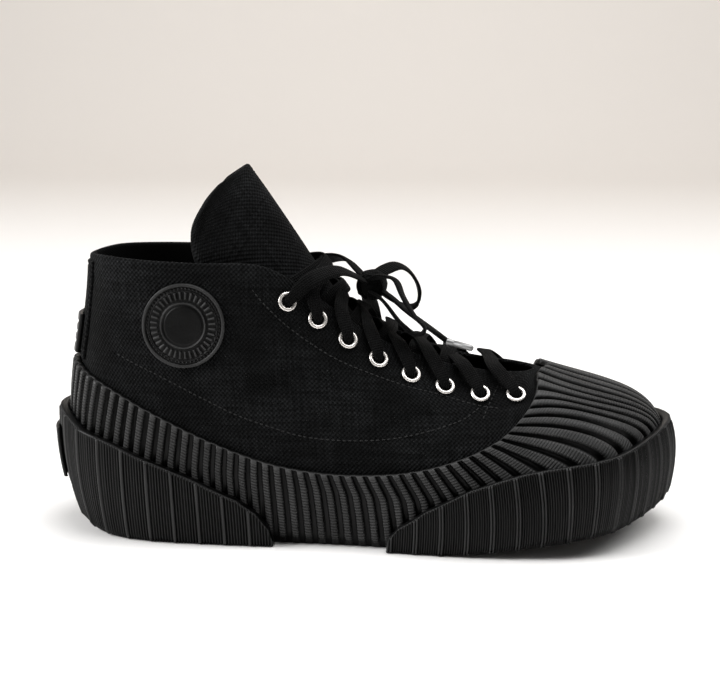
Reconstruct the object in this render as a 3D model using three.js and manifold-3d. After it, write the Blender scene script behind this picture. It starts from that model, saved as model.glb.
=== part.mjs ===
// Mid-top canvas lace-up sneaker for a right foot, with a thick ribbed rubber sole.
// Millimetres, +Z up, toe along +X, inner (medial) side along +Y, ground at Z = 0.
import * as THREE from "three";
import { mergeVertices } from "three/addons/utils/BufferGeometryUtils.js";
import Module from "manifold-3d";

const wasm = await Module();
wasm.setup();

// Driving dimensions
const WALL = 2.4; // canvas and lining
const GAP = 0.3; // between pieces that meet
const GUARD_INNER = 0.9; // ribbed guard's back, from the upper
const GUARD_BASE = 1.4; // ribbed guard, at the bottom of its grooves
const RIB_HEIGHT = 1.6;
const RIB_COUNT = 106; // round the whole shoe
const RIB_STRAIGHT = 0.33; // share of the guard's height, below which the ribs run straight down
const WRAP_THICKNESS = 4.0; // outer strips at heel and toe
const WRAP_INNER = GUARD_INNER + GUARD_BASE + RIB_HEIGHT + 3 * GAP; // from the upper to the strips
const WRAP_RIDGE = 0.6; // bold upright lines on the strips
const WRAP_PITCH = 11; // from one bold line to the next
const TOE_LINE_LEAN = 0.14; // of the height, by which the toe strip's lines lean towards the toe
const SOLE_CLEAR = 1.0; // guard and strips end this far above the ground
const UPPER_CLEAR = 1.0; // lower edge of the upper above the core
const TOE_SPRING = 17;
const TOE_SPRING_FROM = 42; // x where the forefoot starts to lift
const TOE_SPRING_RUN = 108;
const TOE_SPRING_POWER = 1.2;
const HEEL_BEVEL = 5; // lift of the rear edge
const HEEL_BEVEL_FROM = -112;
const HEEL_BEVEL_RUN = 24;
const INSOLE_THICKNESS = 4;
const EYELET_PITCH = 17.5;
const EYELETS_A_SIDE = 8;
const EYELET_OUTER_R = 4.7;
const EYELET_HOLE_R = 2.6;
const EYELET_THICKNESS = 1;
const EYELET_BASE = 0.7; // underside of an eyelet above the upper
const EYELET_INSET = { low: 21.5, high: 11, highAt: 4.4 }; // from the throat edge, lowest and highest eyelet
const FIRST_EYELET = 47; // from the throat's end to the lowest eyelet, along the row
const LACE_WIDTH = 8;
const LACE_THICKNESS = 1.8;
const BADGE_R = 20.5;
const BADGE_THICKNESS = 1.8;
const BADGE_AT = { x: -84, z: 106.5 };

// Sections round the shoe, from the middle of the heel to the tip of the toe.
// Each is one line up the side: it leaves the ground at the foot point, and ends at the rim of the
// opening. rise and flare place the lower handle of the curve, drop, spread and reach the upper one:
// spread is outwards, and reach is a share of the way from the rim to the foot. guardZ is the height
// of the ribbed guard's top edge. Lat and Med are the outer and the inner side.
const COLUMNS = [
  "footX", "footLat", "footMed", "rise", "flare",
  "rimX", "rimLat", "rimMed", "rimZ", "drop", "spread", "reach", "guardZ",
];
const SECTIONS = {
  heel_back: [-133, 0, 0, 48, 22.5, -135, 0, 0, 134.5, 42, 1, 0, 84],
  heel_corner: [-125, -21, 21, 46, 19, -125, -17.5, 17.5, 135.8, 42, 2, 0, 79],
  heel_side: [-104, -31.5, 31, 44, 13, -105, -27, 27, 135.4, 42, 3, 0, 67.5],
  ankle: [-72, -35, 33.5, 42, 10, -78, -30.5, 30.5, 134.8, 45, 6, 0, 53],
  collar_front: [-38, -36.5, 31.5, 40, 9, -48, -30.5, 30.5, 134.2, 50, 7, 0.05, 41],
  instep: [0, -39, 32, 42, 8, -27, -22.5, 22.5, 122.5, 28, 9, 0.2, 36.8],
  vamp: [40, -44, 38, 42, 7, 9, -18.5, 19, 98, 18, 10, 0.28, 41],
  ball: [80, -46, 45, 42, 7, 45, -15.5, 17.5, 84.8, 18, 8, 0.32, 54],
  toe_corner: [117, -37, 41, 50, 10, 76, -9.5, 13.5, 80.8, 17, 4, 0.66, 76.2],
  toe_tip: [144, 12, 12, 54, 12, 85, 2.5, 2.5, 80.8, 16.5, 0, 0.72, 79.2],
};
// Top edges of the outer strips, by the x of the wall's foot
const HEEL_WRAP_TOP = [
  { x: -133, z: 60 }, { x: -125, z: 53.5 }, { x: -104, z: 44 }, { x: -78, z: 34 }, { x: -57, z: 24.5 },
  { x: -48, z: 18 }, { x: -42.5, z: 11 }, { x: -40.5, z: 5 },
];
const TOE_WRAP_TOP = [
  { x: 15, z: 5 }, { x: 17, z: 9 }, { x: 22, z: 14 }, { x: 36, z: 22.5 }, { x: 59, z: 32.6 },
  { x: 92, z: 41.5 }, { x: 120, z: 46.5 }, { x: 144, z: 51.5 },
];
// Place of a rib (x: its number from the heel) round the shoe at the guard's top and at its foot (z: u).
// The ribs of the toe cap run forward rather than down.
const RIB_TOPS = [
  { x: 0, z: 0 }, { x: 4, z: 0.79 }, { x: 8, z: 1.54 }, { x: 12, z: 2.26 }, { x: 16, z: 2.92 },
  { x: 20, z: 3.57 }, { x: 24, z: 4.21 }, { x: 28, z: 4.84 }, { x: 32, z: 5.45 }, { x: 37, z: 6.19 },
  { x: 42, z: 6.95 }, { x: 45, z: 7.34 }, { x: 48, z: 7.73 }, { x: 50, z: 8.13 }, { x: 53, z: 9 },
];
const RIB_FEET = [
  { x: 0, z: 0 }, { x: 4, z: 0.67 }, { x: 8, z: 1.37 }, { x: 12, z: 2.14 }, { x: 16, z: 2.84 },
  { x: 20, z: 3.53 }, { x: 24, z: 4.22 }, { x: 30, z: 5.23 }, { x: 34, z: 5.88 }, { x: 37, z: 6.4 },
  { x: 40, z: 7.03 }, { x: 42, z: 7.6 }, { x: 44, z: 8.09 }, { x: 46, z: 8.49 }, { x: 48, z: 8.74 },
  { x: 50, z: 8.87 }, { x: 53, z: 9 },
];
// Height of the sole's core under the foot, along the shoe
const CORE_TOP = [
  { x: -150, z: 33 }, { x: -60, z: 31 }, { x: 20, z: 21 }, { x: 70, z: 20 },
  { x: 110, z: 24 }, { x: 150, z: 32 },
];
// The tongue from the toe end up: its front line, how far its wings reach back and down (wing), their
// direction as a slope, the half width, the angle that each wing turns through, and the share of the
// wing that is left by the rounded top.
const TONGUE_COLUMNS = ["x", "z", "wing", "slope", "halfWidth", "turn", "extent"];
const TONGUE = [
  [92, 74.5, 5, 85, 18, 50, 1],
  [60, 77.5, 7, 80, 23, 55, 1],
  [20, 87, 9, 68, 25, 60, 1],
  [-1, 102, 12, 56, 25, 66, 1],
  [-16.5, 122, 24, 46, 25, 76, 1],
  [-28.5, 140, 42, 38, 25, 84, 1],
  [-41, 158, 45, 35, 25.5, 86, 0.98],
  [-50.5, 171.5, 46, 35, 25.5, 86, 0.86],
  [-55, 178, 46, 35, 25.5, 86, 0.67],
  [-56.5, 180.5, 46, 35, 25.5, 86, 0.5],
];
const TONGUE_THICKNESS = 3;

// Curves through short tables
const spread = (count, from, to) => {
  return Array.from({ length: count + 1 }, (_, i) => from + ((to - from) * i) / count);
};

function catmull(p0, p1, p2, p3, t) {
  const a = 2 * p1;
  const b = p2 - p0;
  const c = 2 * p0 - 5 * p1 + 4 * p2 - p3;
  const d = 3 * p1 - p0 - 3 * p2 + p3;
  return 0.5 * (a + t * (b + t * (c + t * d)));
}

function lerpTable(rows, x) {
  const last = rows.length - 1;
  if (x <= rows[0].x) return rows[0].z;
  if (x >= rows[last].x) return rows[last].z;
  const i = rows.findIndex((row) => row.x > x) - 1;
  const t = (x - rows[i].x) / (rows[i + 1].x - rows[i].x);
  const z = (k) => rows[THREE.MathUtils.clamp(k, 0, last)].z;
  return catmull(z(i - 1), z(i), z(i + 1), z(i + 2), t);
}

// The same with straight spans, for x inside the table
function straightTable(rows, x) {
  const next = Math.max(1, rows.findIndex((row) => row.x >= x));
  const [a, b] = [rows[next - 1], rows[next]];
  return a.z + ((b.z - a.z) * (x - a.x)) / (b.x - a.x);
}

// The sections as a closed loop: outer side from heel to toe, then the inner side back again
const names = Object.keys(SECTIONS);
const TOE = names.length - 1; // u of the toe's tip; u is 0 at the heel and LOOP one turn later
const LOOP = 2 * TOE;
const loop = Array.from({ length: LOOP }, (_, i) => {
  const values = SECTIONS[names[i <= TOE ? i : LOOP - i]];
  const row = Object.fromEntries(COLUMNS.map((name, k) => [name, values[k]]));
  const side = i <= TOE ? "Lat" : "Med";
  return { ...row, footY: row["foot" + side], rimY: row["rim" + side] };
});

function column(name, u) {
  const i = Math.floor(u);
  const at = (k) => loop[(((i + k) % LOOP) + LOOP) % LOOP][name];
  return catmull(at(-1), at(0), at(1), at(2), u - i);
}

function bottomZ(x) {
  const toe = Math.max(0, (x - TOE_SPRING_FROM) / TOE_SPRING_RUN);
  const heel = Math.max(0, (HEEL_BEVEL_FROM - x) / HEEL_BEVEL_RUN);
  return TOE_SPRING * toe ** TOE_SPRING_POWER + HEEL_BEVEL * heel ** 2;
}

function outward(u) {
  const du = 0.02;
  const dx = column("footX", u + du) - column("footX", u - du);
  const dy = column("footY", u + du) - column("footY", u - du);
  return new THREE.Vector3(dy, -dx, 0).normalize();
}

// A point on the outer face of the upper: v is 0 on the ground and 1 at the rim of the opening
function lastPoint(u, v) {
  const c = (name) => column(name, u);
  const out = outward(u);
  const foot = new THREE.Vector3(c("footX"), c("footY"), bottomZ(c("footX")));
  const rim = new THREE.Vector3(c("rimX"), c("rimY"), c("rimZ"));
  const low = foot.clone().addScaledVector(out, c("flare"));
  low.z += c("rise");
  const high = rim.clone().lerp(foot, c("reach")).addScaledVector(out, c("spread"));
  high.z = rim.z - c("drop");
  return new THREE.CubicBezierCurve3(foot, low, high, rim).getPoint(v);
}

function lastNormal(u, v) {
  const d = 0.01;
  const across = lastPoint(u + d, v).sub(lastPoint(u - d, v));
  const up = lastPoint(u, Math.min(1, v + d)).sub(lastPoint(u, Math.max(0, v - d)));
  return across.cross(up).normalize();
}

const skin = (u, v, offset) => lastPoint(u, v).addScaledVector(lastNormal(u, v), offset);

// The share v at which the side reaches height z
function shareAt(u, z) {
  let low = 0;
  let high = 1;
  for (let i = 0; i < 30; i++) {
    const mid = (low + high) / 2;
    if (lastPoint(u, mid).z < z) low = mid;
    else high = mid;
  }
  return (low + high) / 2;
}

// The u on one side whose wall starts at x
function sectionAt(x, side) {
  let low = 0;
  let high = TOE;
  for (let i = 0; i < 40; i++) {
    const mid = (low + high) / 2;
    if (column("footX", mid) < x) low = mid;
    else high = mid;
  }
  return side === "outer" ? low : LOOP - low;
}

// Rows up the side that the pieces share: foot of the guard, top of the core, top of the guard, rim
function shareRows(u) {
  const x = column("footX", u);
  const core = shareAt(u, lerpTable(CORE_TOP, x));
  const guard = shareAt(u, column("guardZ", u));
  const low = [0, core];
  const band = spread(4, core, guard);
  return { foot: shareAt(u, bottomZ(x) + SOLE_CLEAR), low, core, band, guard, top: spread(3, guard, 1) };
}

// Meshes and solids
function meshOf(points, triangles) {
  const geometry = new THREE.BufferGeometry();
  const flat = points.flatMap((p) => [p.x, p.y, p.z]);
  geometry.setAttribute("position", new THREE.Float32BufferAttribute(flat, 3));
  geometry.setIndex(triangles.flat());
  return geometry;
}

function solidOf(geometry) {
  const plain = new THREE.BufferGeometry();
  plain.setAttribute("position", geometry.getAttribute("position"));
  plain.setIndex(geometry.getIndex());
  const merged = mergeVertices(plain, 1e-4);
  return new wasm.Manifold(
    new wasm.Mesh({
      numProp: 3,
      vertProperties: new Float32Array(merged.attributes.position.array),
      triVerts: new Uint32Array(merged.index.array),
    }),
  );
}

function geometryOf(solid) {
  const { vertProperties, triVerts, numProp, numVert } = solid.getMesh();
  const points = Array.from({ length: numVert }, (_, i) => {
    return new THREE.Vector3().fromArray(vertProperties, i * numProp);
  });
  const triangles = Array.from({ length: triVerts.length / 3 }, (_, i) => {
    return [...triVerts.subarray(3 * i, 3 * i + 3)];
  });
  return meshOf(points, triangles);
}

// A solid from a row of closed sections with the same number of points, each turning clockwise seen
// along the row. The row closes on itself, or has a cap at each end.
function sweep(sections, closed) {
  const size = sections[0].length;
  const points = sections.flat();
  const triangles = [];
  const rows = closed ? sections.length : sections.length - 1;
  for (let i = 0; i < rows; i++) {
    const here = i * size;
    const next = ((i + 1) % sections.length) * size;
    for (let k = 0; k < size; k++) {
      const k1 = (k + 1) % size;
      triangles.push([here + k, next + k, next + k1], [here + k, next + k1, here + k1]);
    }
  }
  if (!closed) {
    const end = (sections.length - 1) * size;
    for (let k = 0; 2 * k < size - 2; k++) {
      const a = [k, k + 1, size - 2 - k, size - 1 - k];
      triangles.push([a[0], a[2], a[3]], [end + a[0], end + a[3], end + a[2]]);
      if (a[1] === a[2]) continue;
      triangles.push([a[0], a[1], a[2]], [end + a[0], end + a[2], end + a[1]]);
    }
  }
  return meshOf(points, triangles);
}

// A section of a wall: up its outer face and down its inner face
function wallSection(u, shares, outer, inner) {
  const up = shares.map((v) => skin(u, v, outer));
  const down = [...shares].reverse().map((v) => skin(u, v, inner));
  return [...up, ...down];
}

// Upper
function makeUpper(holes) {
  const around = 56;
  const sections = spread(around, 0, LOOP).slice(0, around).map((u) => {
    const { core, band, top } = shareRows(u);
    const edge = shareAt(u, lastPoint(u, core).z + UPPER_CLEAR);
    return wallSection(u, [edge, ...band.slice(1), ...top.slice(1)], 0, -WALL);
  });
  let solid = solidOf(sweep(sections, true));
  for (const hole of holes) solid = solid.subtract(hole);
  return geometryOf(solid);
}

// A point of a lower edge is set at the edge's height above the ground
function grounded(u, point, isEdge) {
  return isEdge ? point.setZ(bottomZ(column("footX", u)) + SOLE_CLEAR) : point;
}

// The u of a rib at each row of the guard, from its foot up
function ribRows(rib) {
  const far = rib > RIB_COUNT / 2;
  const near = far ? RIB_COUNT - rib : rib;
  const [top, foot] = [straightTable(RIB_TOPS, near), straightTable(RIB_FEET, near)];
  return [0, 0, ...spread(4, 0, 1).slice(1)].map((height) => {
    const share = Math.max(0, (height - RIB_STRAIGHT) / (1 - RIB_STRAIGHT));
    const u = foot + (top - foot) * share;
    return far ? LOOP - u : u;
  });
}

// Ribbed guard: two points a rib outside, one inside
function makeGuard() {
  const points = [];
  const triangles = [];
  const outerAt = [];
  const innerAt = [];
  for (let i = 0; i < 2 * RIB_COUNT; i++) {
    const places = ribRows(i / 2).map((u, k) => {
      const { foot, low, band } = shareRows(u);
      return { u, v: [foot, ...low.slice(1), ...band.slice(1)][k] };
    });
    const height = GUARD_BASE + (i % 2 ? 0 : RIB_HEIGHT);
    outerAt.push(points.length);
    places.forEach(({ u, v }, k) => {
      const ends = k === 0 || k === places.length - 1;
      points.push(grounded(u, skin(u, v, GUARD_INNER + (ends ? GUARD_BASE : height)), k === 0));
    });
    if (i % 2 === 0) {
      innerAt.push(points.length);
      places.forEach(({ u, v }, k) => points.push(grounded(u, skin(u, v, GUARD_INNER), k === 0)));
    }
  }
  const n = outerAt.length;
  const top = innerAt[0] - outerAt[0] - 1;
  for (let i = 0; i < n; i++) {
    const a = outerAt[i];
    const b = outerAt[(i + 1) % n];
    for (let k = 0; k < top; k++) {
      triangles.push([a + k, b + k, b + k + 1], [a + k, b + k + 1, a + k + 1]);
    }
  }
  for (let i = 0; i < innerAt.length; i++) {
    const a = innerAt[i];
    const b = innerAt[(i + 1) % innerAt.length];
    for (let k = 0; k < top; k++) {
      triangles.push([a + k, b + k + 1, b + k], [a + k, a + k + 1, b + k + 1]);
    }
    const rim = [0, 1, 2].map((d) => outerAt[(2 * i + d) % n]);
    for (let d = 0; d < 2; d++) {
      const inside = d < 1 ? a : b;
      triangles.push([inside, rim[d + 1], rim[d]], [inside + top, rim[d] + top, rim[d + 1] + top]);
    }
    triangles.push([a, b, rim[1]], [a + top, rim[1] + top, b + top]);
  }
  return meshOf(points, triangles);
}

// An outer strip from one u to another, with a bold raised line every pitch; lean is of the height
function makeWrap(from, to, topTable, lean) {
  const inner = WRAP_INNER;
  const outer = inner + WRAP_THICKNESS;
  const steps = 400;
  const path = spread(steps, from, to).map((u) => skin(u, 0.1, outer));
  const along = path.map(() => 0);
  for (let i = 1; i <= steps; i++) along[i] = along[i - 1] + path[i].distanceTo(path[i - 1]);
  const uAt = (distance) => {
    const i = THREE.MathUtils.clamp(along.findIndex((d) => d >= distance), 1, steps);
    const t = (distance - along[i - 1]) / (along[i] - along[i - 1]);
    return from + ((to - from) * (i - 1 + t)) / steps;
  };
  const lines = Math.round(along[steps] / WRAP_PITCH);
  const pitch = along[steps] / lines;
  const ridge = [{ at: 0, height: 0 }, { at: 0.72, height: 0 }, { at: 0.86, height: WRAP_RIDGE }];
  const stations = Array.from({ length: lines }, (_, i) => {
    return ridge.map((r) => ({ distance: pitch * (i + r.at), height: r.height }));
  }).flat();
  stations.push({ distance: along[steps], height: 0 });
  const edges = (u) => {
    const x = column("footX", u);
    return [bottomZ(x) + SOLE_CLEAR, lerpTable(topTable, x)];
  };
  const sections = stations.map(({ distance, height }) => {
    const middle = uAt(distance);
    const [low, high] = edges(middle);
    const shift = lean * (high - low) * THREE.MathUtils.clamp(TOE - middle, -1, 1);
    const places = spread(3, 0, 1).map((share) => {
      const u = uAt(THREE.MathUtils.clamp(distance + shift * share, 0, along[steps]));
      const ends = edges(u).map((z) => shareAt(u, z));
      return { u, v: THREE.MathUtils.lerp(ends[0], ends[1], share), foot: share === 0 };
    });
    const face = ({ u, v, foot }, offset) => grounded(u, skin(u, v, offset), foot);
    const outside = places.filter((_, k) => k !== 1).map((place) => face(place, outer + height));
    const inside = places.reverse().map((place) => face(place, inner));
    return [...outside, ...inside];
  });
  return sweep(sections, false);
}

// Outsole: core under the foot, with treads cut across the heel and the forefoot
function makeOutsole() {
  const around = 72;
  const half = around / 2;
  const points = [];
  const triangles = [];
  let size = 0;
  for (let i = 0; i < around; i++) {
    const { low } = shareRows((LOOP * i) / around);
    size = low.length;
    low.forEach((v) => points.push(skin((LOOP * i) / around, v, 0)));
  }
  for (let i = 0; i < around; i++) {
    const next = (i + 1) % around;
    for (let k = 0; k < size - 1; k++) {
      const [a, b] = [i * size + k, next * size + k];
      triangles.push([a, b, b + 1], [a, b + 1, a + 1]);
    }
  }
  for (const [k, facing] of [[0, "down"], [size - 1, "up"]]) {
    const at = (i) => ((i + around) % around) * size + k;
    for (let i = 0; i < half; i++) {
      const quad = [at(i), at(i + 1), at(around - i - 1), at(around - i)];
      const faces = [[quad[0], quad[1], quad[2]], [quad[0], quad[2], quad[3]]];
      for (const f of faces) {
        if (new Set(f).size < 3) continue;
        triangles.push(facing === "up" ? f : [f[0], f[2], f[1]]);
      }
    }
  }
  let solid = solidOf(meshOf(points, triangles));
  for (const cut of treadCuts()) solid = solid.subtract(cut);
  return geometryOf(solid);
}

const TREAD = { depth: 2.5, groove: 3, pitch: 11, across: 130, archDepth: 1.2 };
const HEEL_TREAD = { from: -112, to: -56 };
const FORE_TREAD = { from: 16, to: 126 };

function boxSolid(length, width, height, x, z, pitchAngle) {
  const box = new THREE.BoxGeometry(length, width, height);
  box.rotateY(-pitchAngle).translate(x, 0, z);
  return solidOf(box);
}

function treadCuts() {
  const cuts = [];
  for (const { from, to } of [HEEL_TREAD, FORE_TREAD]) {
    for (let x = from; x <= to; x += TREAD.pitch) {
      const slope = Math.atan2(bottomZ(x + 1) - bottomZ(x - 1), 2);
      cuts.push(boxSolid(TREAD.groove, TREAD.across, 2 * TREAD.depth, x, bottomZ(x), slope));
    }
  }
  const archEnds = [HEEL_TREAD.to + TREAD.pitch, FORE_TREAD.from - TREAD.pitch];
  const archMiddle = (archEnds[0] + archEnds[1]) / 2;
  cuts.push(boxSolid(archEnds[1] - archEnds[0], TREAD.across, 2 * TREAD.archDepth, archMiddle, 0, 0));
  return cuts;
}

function makeInsole() {
  const around = 48;
  const half = around / 2;
  const inset = WALL + GAP + 1;
  const points = [];
  const triangles = [];
  for (let i = 0; i < around; i++) {
    const u = (LOOP * i) / around;
    const low = skin(u, shareRows(u).core, -inset);
    low.z = lastPoint(u, shareRows(u).core).z + 2 * GAP;
    points.push(low, low.clone().setZ(low.z + INSOLE_THICKNESS));
  }
  const at = (i, k) => 2 * ((i + around) % around) + k;
  for (let i = 0; i < around; i++) {
    triangles.push([at(i, 0), at(i + 1, 0), at(i + 1, 1)], [at(i, 0), at(i + 1, 1), at(i, 1)]);
  }
  for (let i = 0; i < half; i++) {
    for (const k of [0, 1]) {
      const quad = [at(i, k), at(i + 1, k), at(-i - 1, k), at(-i, k)];
      for (const f of [[quad[0], quad[1], quad[2]], [quad[0], quad[2], quad[3]]]) {
        if (new Set(f).size === 3) triangles.push(k ? f : [f[0], f[2], f[1]]);
      }
    }
  }
  return meshOf(points, triangles);
}

// Tongue: a curled sheet along its front line
function tongueRow(t) {
  const last = TONGUE.length - 1;
  const i = Math.min(last - 1, Math.floor(t));
  const at = (k, c) => TONGUE[THREE.MathUtils.clamp(i + k, 0, last)][c];
  const row = {};
  TONGUE_COLUMNS.forEach((name, c) => {
    row[name] = catmull(at(-1, c), at(0, c), at(1, c), at(2, c), t - i);
  });
  return row;
}

function tonguePoint(t, s, offset) {
  const row = tongueRow(t);
  const turn = THREE.MathUtils.degToRad(row.turn);
  const slope = THREE.MathUtils.degToRad(row.slope);
  const angle = turn * s * row.extent;
  const width = (row.halfWidth + offset) * (Math.sin(angle) / Math.sin(turn));
  const back = row.wing * ((1 - Math.cos(angle)) / (1 - Math.cos(turn)));
  const along = back - offset;
  const x = row.x - Math.cos(slope) * along;
  return new THREE.Vector3(x, width + 2.5 * Math.max(0, row.x / 85), row.z - Math.sin(slope) * along);
}

function makeTongue() {
  const across = 8;
  const sections = spread(14, 0, TONGUE.length - 1).map((t) => {
    const front = spread(across, 1, -1).map((s) => tonguePoint(t, s, 0));
    const back = spread(across, -1, 1).map((s) => tonguePoint(t, s, -TONGUE_THICKNESS));
    return [...front, ...back];
  });
  return sweep(sections, false);
}

// Overlays on the upper: a patch between two heights and two sections
function makePatch(uFrom, uTo, uSteps, shareRange, low, high) {
  const sections = spread(uSteps, uFrom, uTo).map((u) => {
    const [from, to] = shareRange(u);
    return wallSection(u, spread(3, from, to), high, low);
  });
  return sweep(sections, false);
}

const STRIP = { halfTurn: 0.6, thickness: 1.2 };
const LABEL = { halfTurn: 0.42, fromZ: 86.5, toZ: 106, thickness: 2.2 };
const PLATE = { halfTurn: 0.42, fromZ: 26, toZ: 50, thickness: 1.6 };

function makeHeelStrip() {
  const range = (u) => [shareAt(u, column("guardZ", u) + 2 * GAP + RIB_HEIGHT), 0.985];
  return makePatch(-STRIP.halfTurn, STRIP.halfTurn, 6, range, GAP, GAP + STRIP.thickness);
}

function makeHeelLabel() {
  const range = (u) => [shareAt(u, LABEL.fromZ), shareAt(u, LABEL.toZ)];
  const base = 2.6 * GAP + STRIP.thickness;
  return makePatch(-LABEL.halfTurn, LABEL.halfTurn, 6, range, base, base + LABEL.thickness);
}

function makeHeelPlate() {
  const range = (u) => [shareAt(u, PLATE.fromZ), shareAt(u, PLATE.toZ)];
  const base = WRAP_INNER + WRAP_THICKNESS + WRAP_RIDGE + GAP;
  return makePatch(-PLATE.halfTurn, PLATE.halfTurn, 8, range, base, base + PLATE.thickness);
}

// A point of the skin that lies a and b from its point at (u, v), across and up
function nearby(u, v, a, b, offset) {
  const d = 0.02;
  const here = lastPoint(u, v);
  const acrossRate = lastPoint(u + d, v).sub(here).divideScalar(d);
  const normal = lastNormal(u, v);
  const across = acrossRate.clone().normalize();
  const up = normal.clone().cross(across).normalize();
  const upRate = lastPoint(u, v + d).sub(here).divideScalar(d);
  let [du, dv] = [0, 0];
  for (let i = 0; i < 6; i++) {
    const miss = lastPoint(u + du, v + dv).sub(here);
    const [ea, eb] = [a - miss.dot(across), b - miss.dot(up)];
    const [m00, m01] = [acrossRate.dot(across), upRate.dot(across)];
    const [m10, m11] = [acrossRate.dot(up), upRate.dot(up)];
    const det = m00 * m11 - m01 * m10;
    du += (ea * m11 - eb * m01) / det;
    dv += (eb * m00 - ea * m10) / det;
  }
  return skin(u + du, v + dv, offset);
}

// The u and v of the outer side at a given x and z
function placeOnSide(x, z) {
  let [low, high] = [0, TOE];
  for (let i = 0; i < 40; i++) {
    const mid = (low + high) / 2;
    if (lastPoint(mid, shareAt(mid, z)).x < x) low = mid;
    else high = mid;
  }
  return { u: low, v: shareAt(low, z) };
}

// Round patch with a raised rim and a raised middle
function makeBadge() {
  const sides = 20;
  const { u, v } = placeOnSide(BADGE_AT.x, BADGE_AT.z);
  const steps = [
    { r: BADGE_R, h: 0 }, { r: BADGE_R, h: BADGE_THICKNESS }, { r: 0.8 * BADGE_R, h: BADGE_THICKNESS },
    { r: 0.76 * BADGE_R, h: BADGE_THICKNESS - 0.7 }, { r: 0, h: BADGE_THICKNESS - 0.7 }, { r: 0, h: 0 },
    { r: 0.55 * BADGE_R, h: 0 },
  ];
  const rings = steps.map(({ r, h }) => {
    const turn = (k) => (2 * Math.PI * k) / sides;
    if (r === 0) return [nearby(u, v, 0, 0, 2 * GAP + h)];
    return spread(sides, 0, sides).slice(0, sides).map((k) => {
      return nearby(u, v, r * Math.cos(turn(k)), r * Math.sin(turn(k)), 2 * GAP + h);
    });
  });
  const starts = rings.map((_, i) => rings.slice(0, i).reduce((n, ring) => n + ring.length, 0));
  const triangles = [];
  for (let i = 0; i < rings.length; i++) {
    const j = (i + 1) % rings.length;
    if (rings[i].length === 1 && rings[j].length === 1) continue;
    for (let k = 0; k < sides; k++) {
      const at = (ring, n) => starts[ring] + (rings[ring].length === 1 ? 0 : n % sides);
      const quad = [at(i, k), at(i, k + 1), at(j, k + 1), at(j, k)];
      for (const f of [[quad[0], quad[1], quad[2]], [quad[0], quad[2], quad[3]]]) {
        if (new Set(f).size === 3) triangles.push(f);
      }
    }
  }
  return meshOf(rings.flat(), triangles);
}

// Eyelets: where they sit, as u and v, from the lowest up
function eyeletRow(side) {
  const stepU = side === "outer" ? -0.01 : 0.01;
  const { low, high, highAt } = EYELET_INSET;
  const insetShare = (u) => {
    const inset = low + ((high - low) * Math.abs(u - TOE)) / highAt;
    let v = 1;
    while (skin(u, v, 0).distanceTo(skin(u, 1, 0)) < inset) v -= 0.002;
    return v;
  };
  const seats = [];
  let u = TOE;
  let walked = -FIRST_EYELET;
  let here = skin(u, insetShare(u), 0);
  while (seats.length < EYELETS_A_SIDE) {
    u += stepU;
    const v = insetShare(u);
    const next = skin(u, v, 0);
    walked += next.distanceTo(here);
    here = next;
    if (walked >= seats.length * EYELET_PITCH) seats.push({ u, v });
  }
  return seats;
}

const rows = { outer: eyeletRow("outer"), inner: eyeletRow("inner") };

function standOn({ u, v }, geometry) {
  const turn = new THREE.Quaternion().setFromUnitVectors(new THREE.Vector3(0, 0, 1), lastNormal(u, v));
  return geometry.applyQuaternion(turn).translate(...skin(u, v, 0).toArray());
}

function makeEyelet(seat) {
  const [low, high] = [EYELET_BASE, EYELET_BASE + EYELET_THICKNESS];
  const [hole, rim] = [EYELET_HOLE_R, EYELET_OUTER_R];
  const ring = [[hole, low], [rim, low], [rim, high], [hole, high], [hole, low]];
  const lathe = new THREE.LatheGeometry(ring.map(([r, h]) => new THREE.Vector2(r, h)), 8);
  return standOn(seat, lathe.rotateX(Math.PI / 2));
}

function eyeletHole(seat) {
  const drill = new THREE.CylinderGeometry(EYELET_HOLE_R, EYELET_HOLE_R, 4 * WALL, 7);
  return solidOf(standOn(seat, drill.rotateX(Math.PI / 2)));
}

// Lace: flat ribbons, each along a row of points with the direction that its flat side faces
function makeRibbon(path, smooth) {
  const curve = new THREE.CatmullRomCurve3(path.map(({ p }) => p), false, "centripetal");
  const steps = smooth * (path.length - 1);
  const sections = spread(steps, 0, 1).map((t) => {
    const i = Math.min(path.length - 2, Math.floor(t * (path.length - 1)));
    const share = t * (path.length - 1) - i;
    const tangent = curve.getTangent(t);
    const face = path[i].face.clone().lerp(path[i + 1].face, share);
    const across = face.cross(tangent).normalize().multiplyScalar(LACE_WIDTH / 2);
    const flat = tangent.clone().cross(across).normalize().multiplyScalar(LACE_THICKNESS / 2);
    const centre = curve.getPoint(t);
    return [[1, 1], [1, -1], [-1, -1], [-1, 1]].map(([a, b]) => {
      return centre.clone().addScaledVector(across, a).addScaledVector(flat, b);
    });
  });
  return sweep(sections, false);
}

const LACE_OVER = EYELET_BASE + EYELET_THICKNESS + 0.5 + LACE_THICKNESS / 2; // lace's middle above the upper
const CROSS_RISE = 3; // least height of a crossing's middle above the throat's edges
const CROSS_CLEAR = 4.8; // and above the tongue
const CROSS_END = 6; // end of a strand inside the opposite edge

const rimPoint = (u, offset) => skin(u, 1, offset);

// One strand of a crossing: from an eyelet over the throat's edge to the opposite edge
function strandPath(from, ownEdge, middle, face, farEdge) {
  const inward = middle.clone().sub(farEdge).normalize();
  const end = farEdge.clone().addScaledVector(inward, CROSS_END);
  return [
    { p: skin(from.u, from.v, LACE_OVER), face: lastNormal(from.u, from.v) },
    { p: rimPoint(ownEdge, LACE_OVER), face: lastNormal(ownEdge, 0.99) },
    { p: middle, face },
    { p: end, face },
  ];
}

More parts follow.
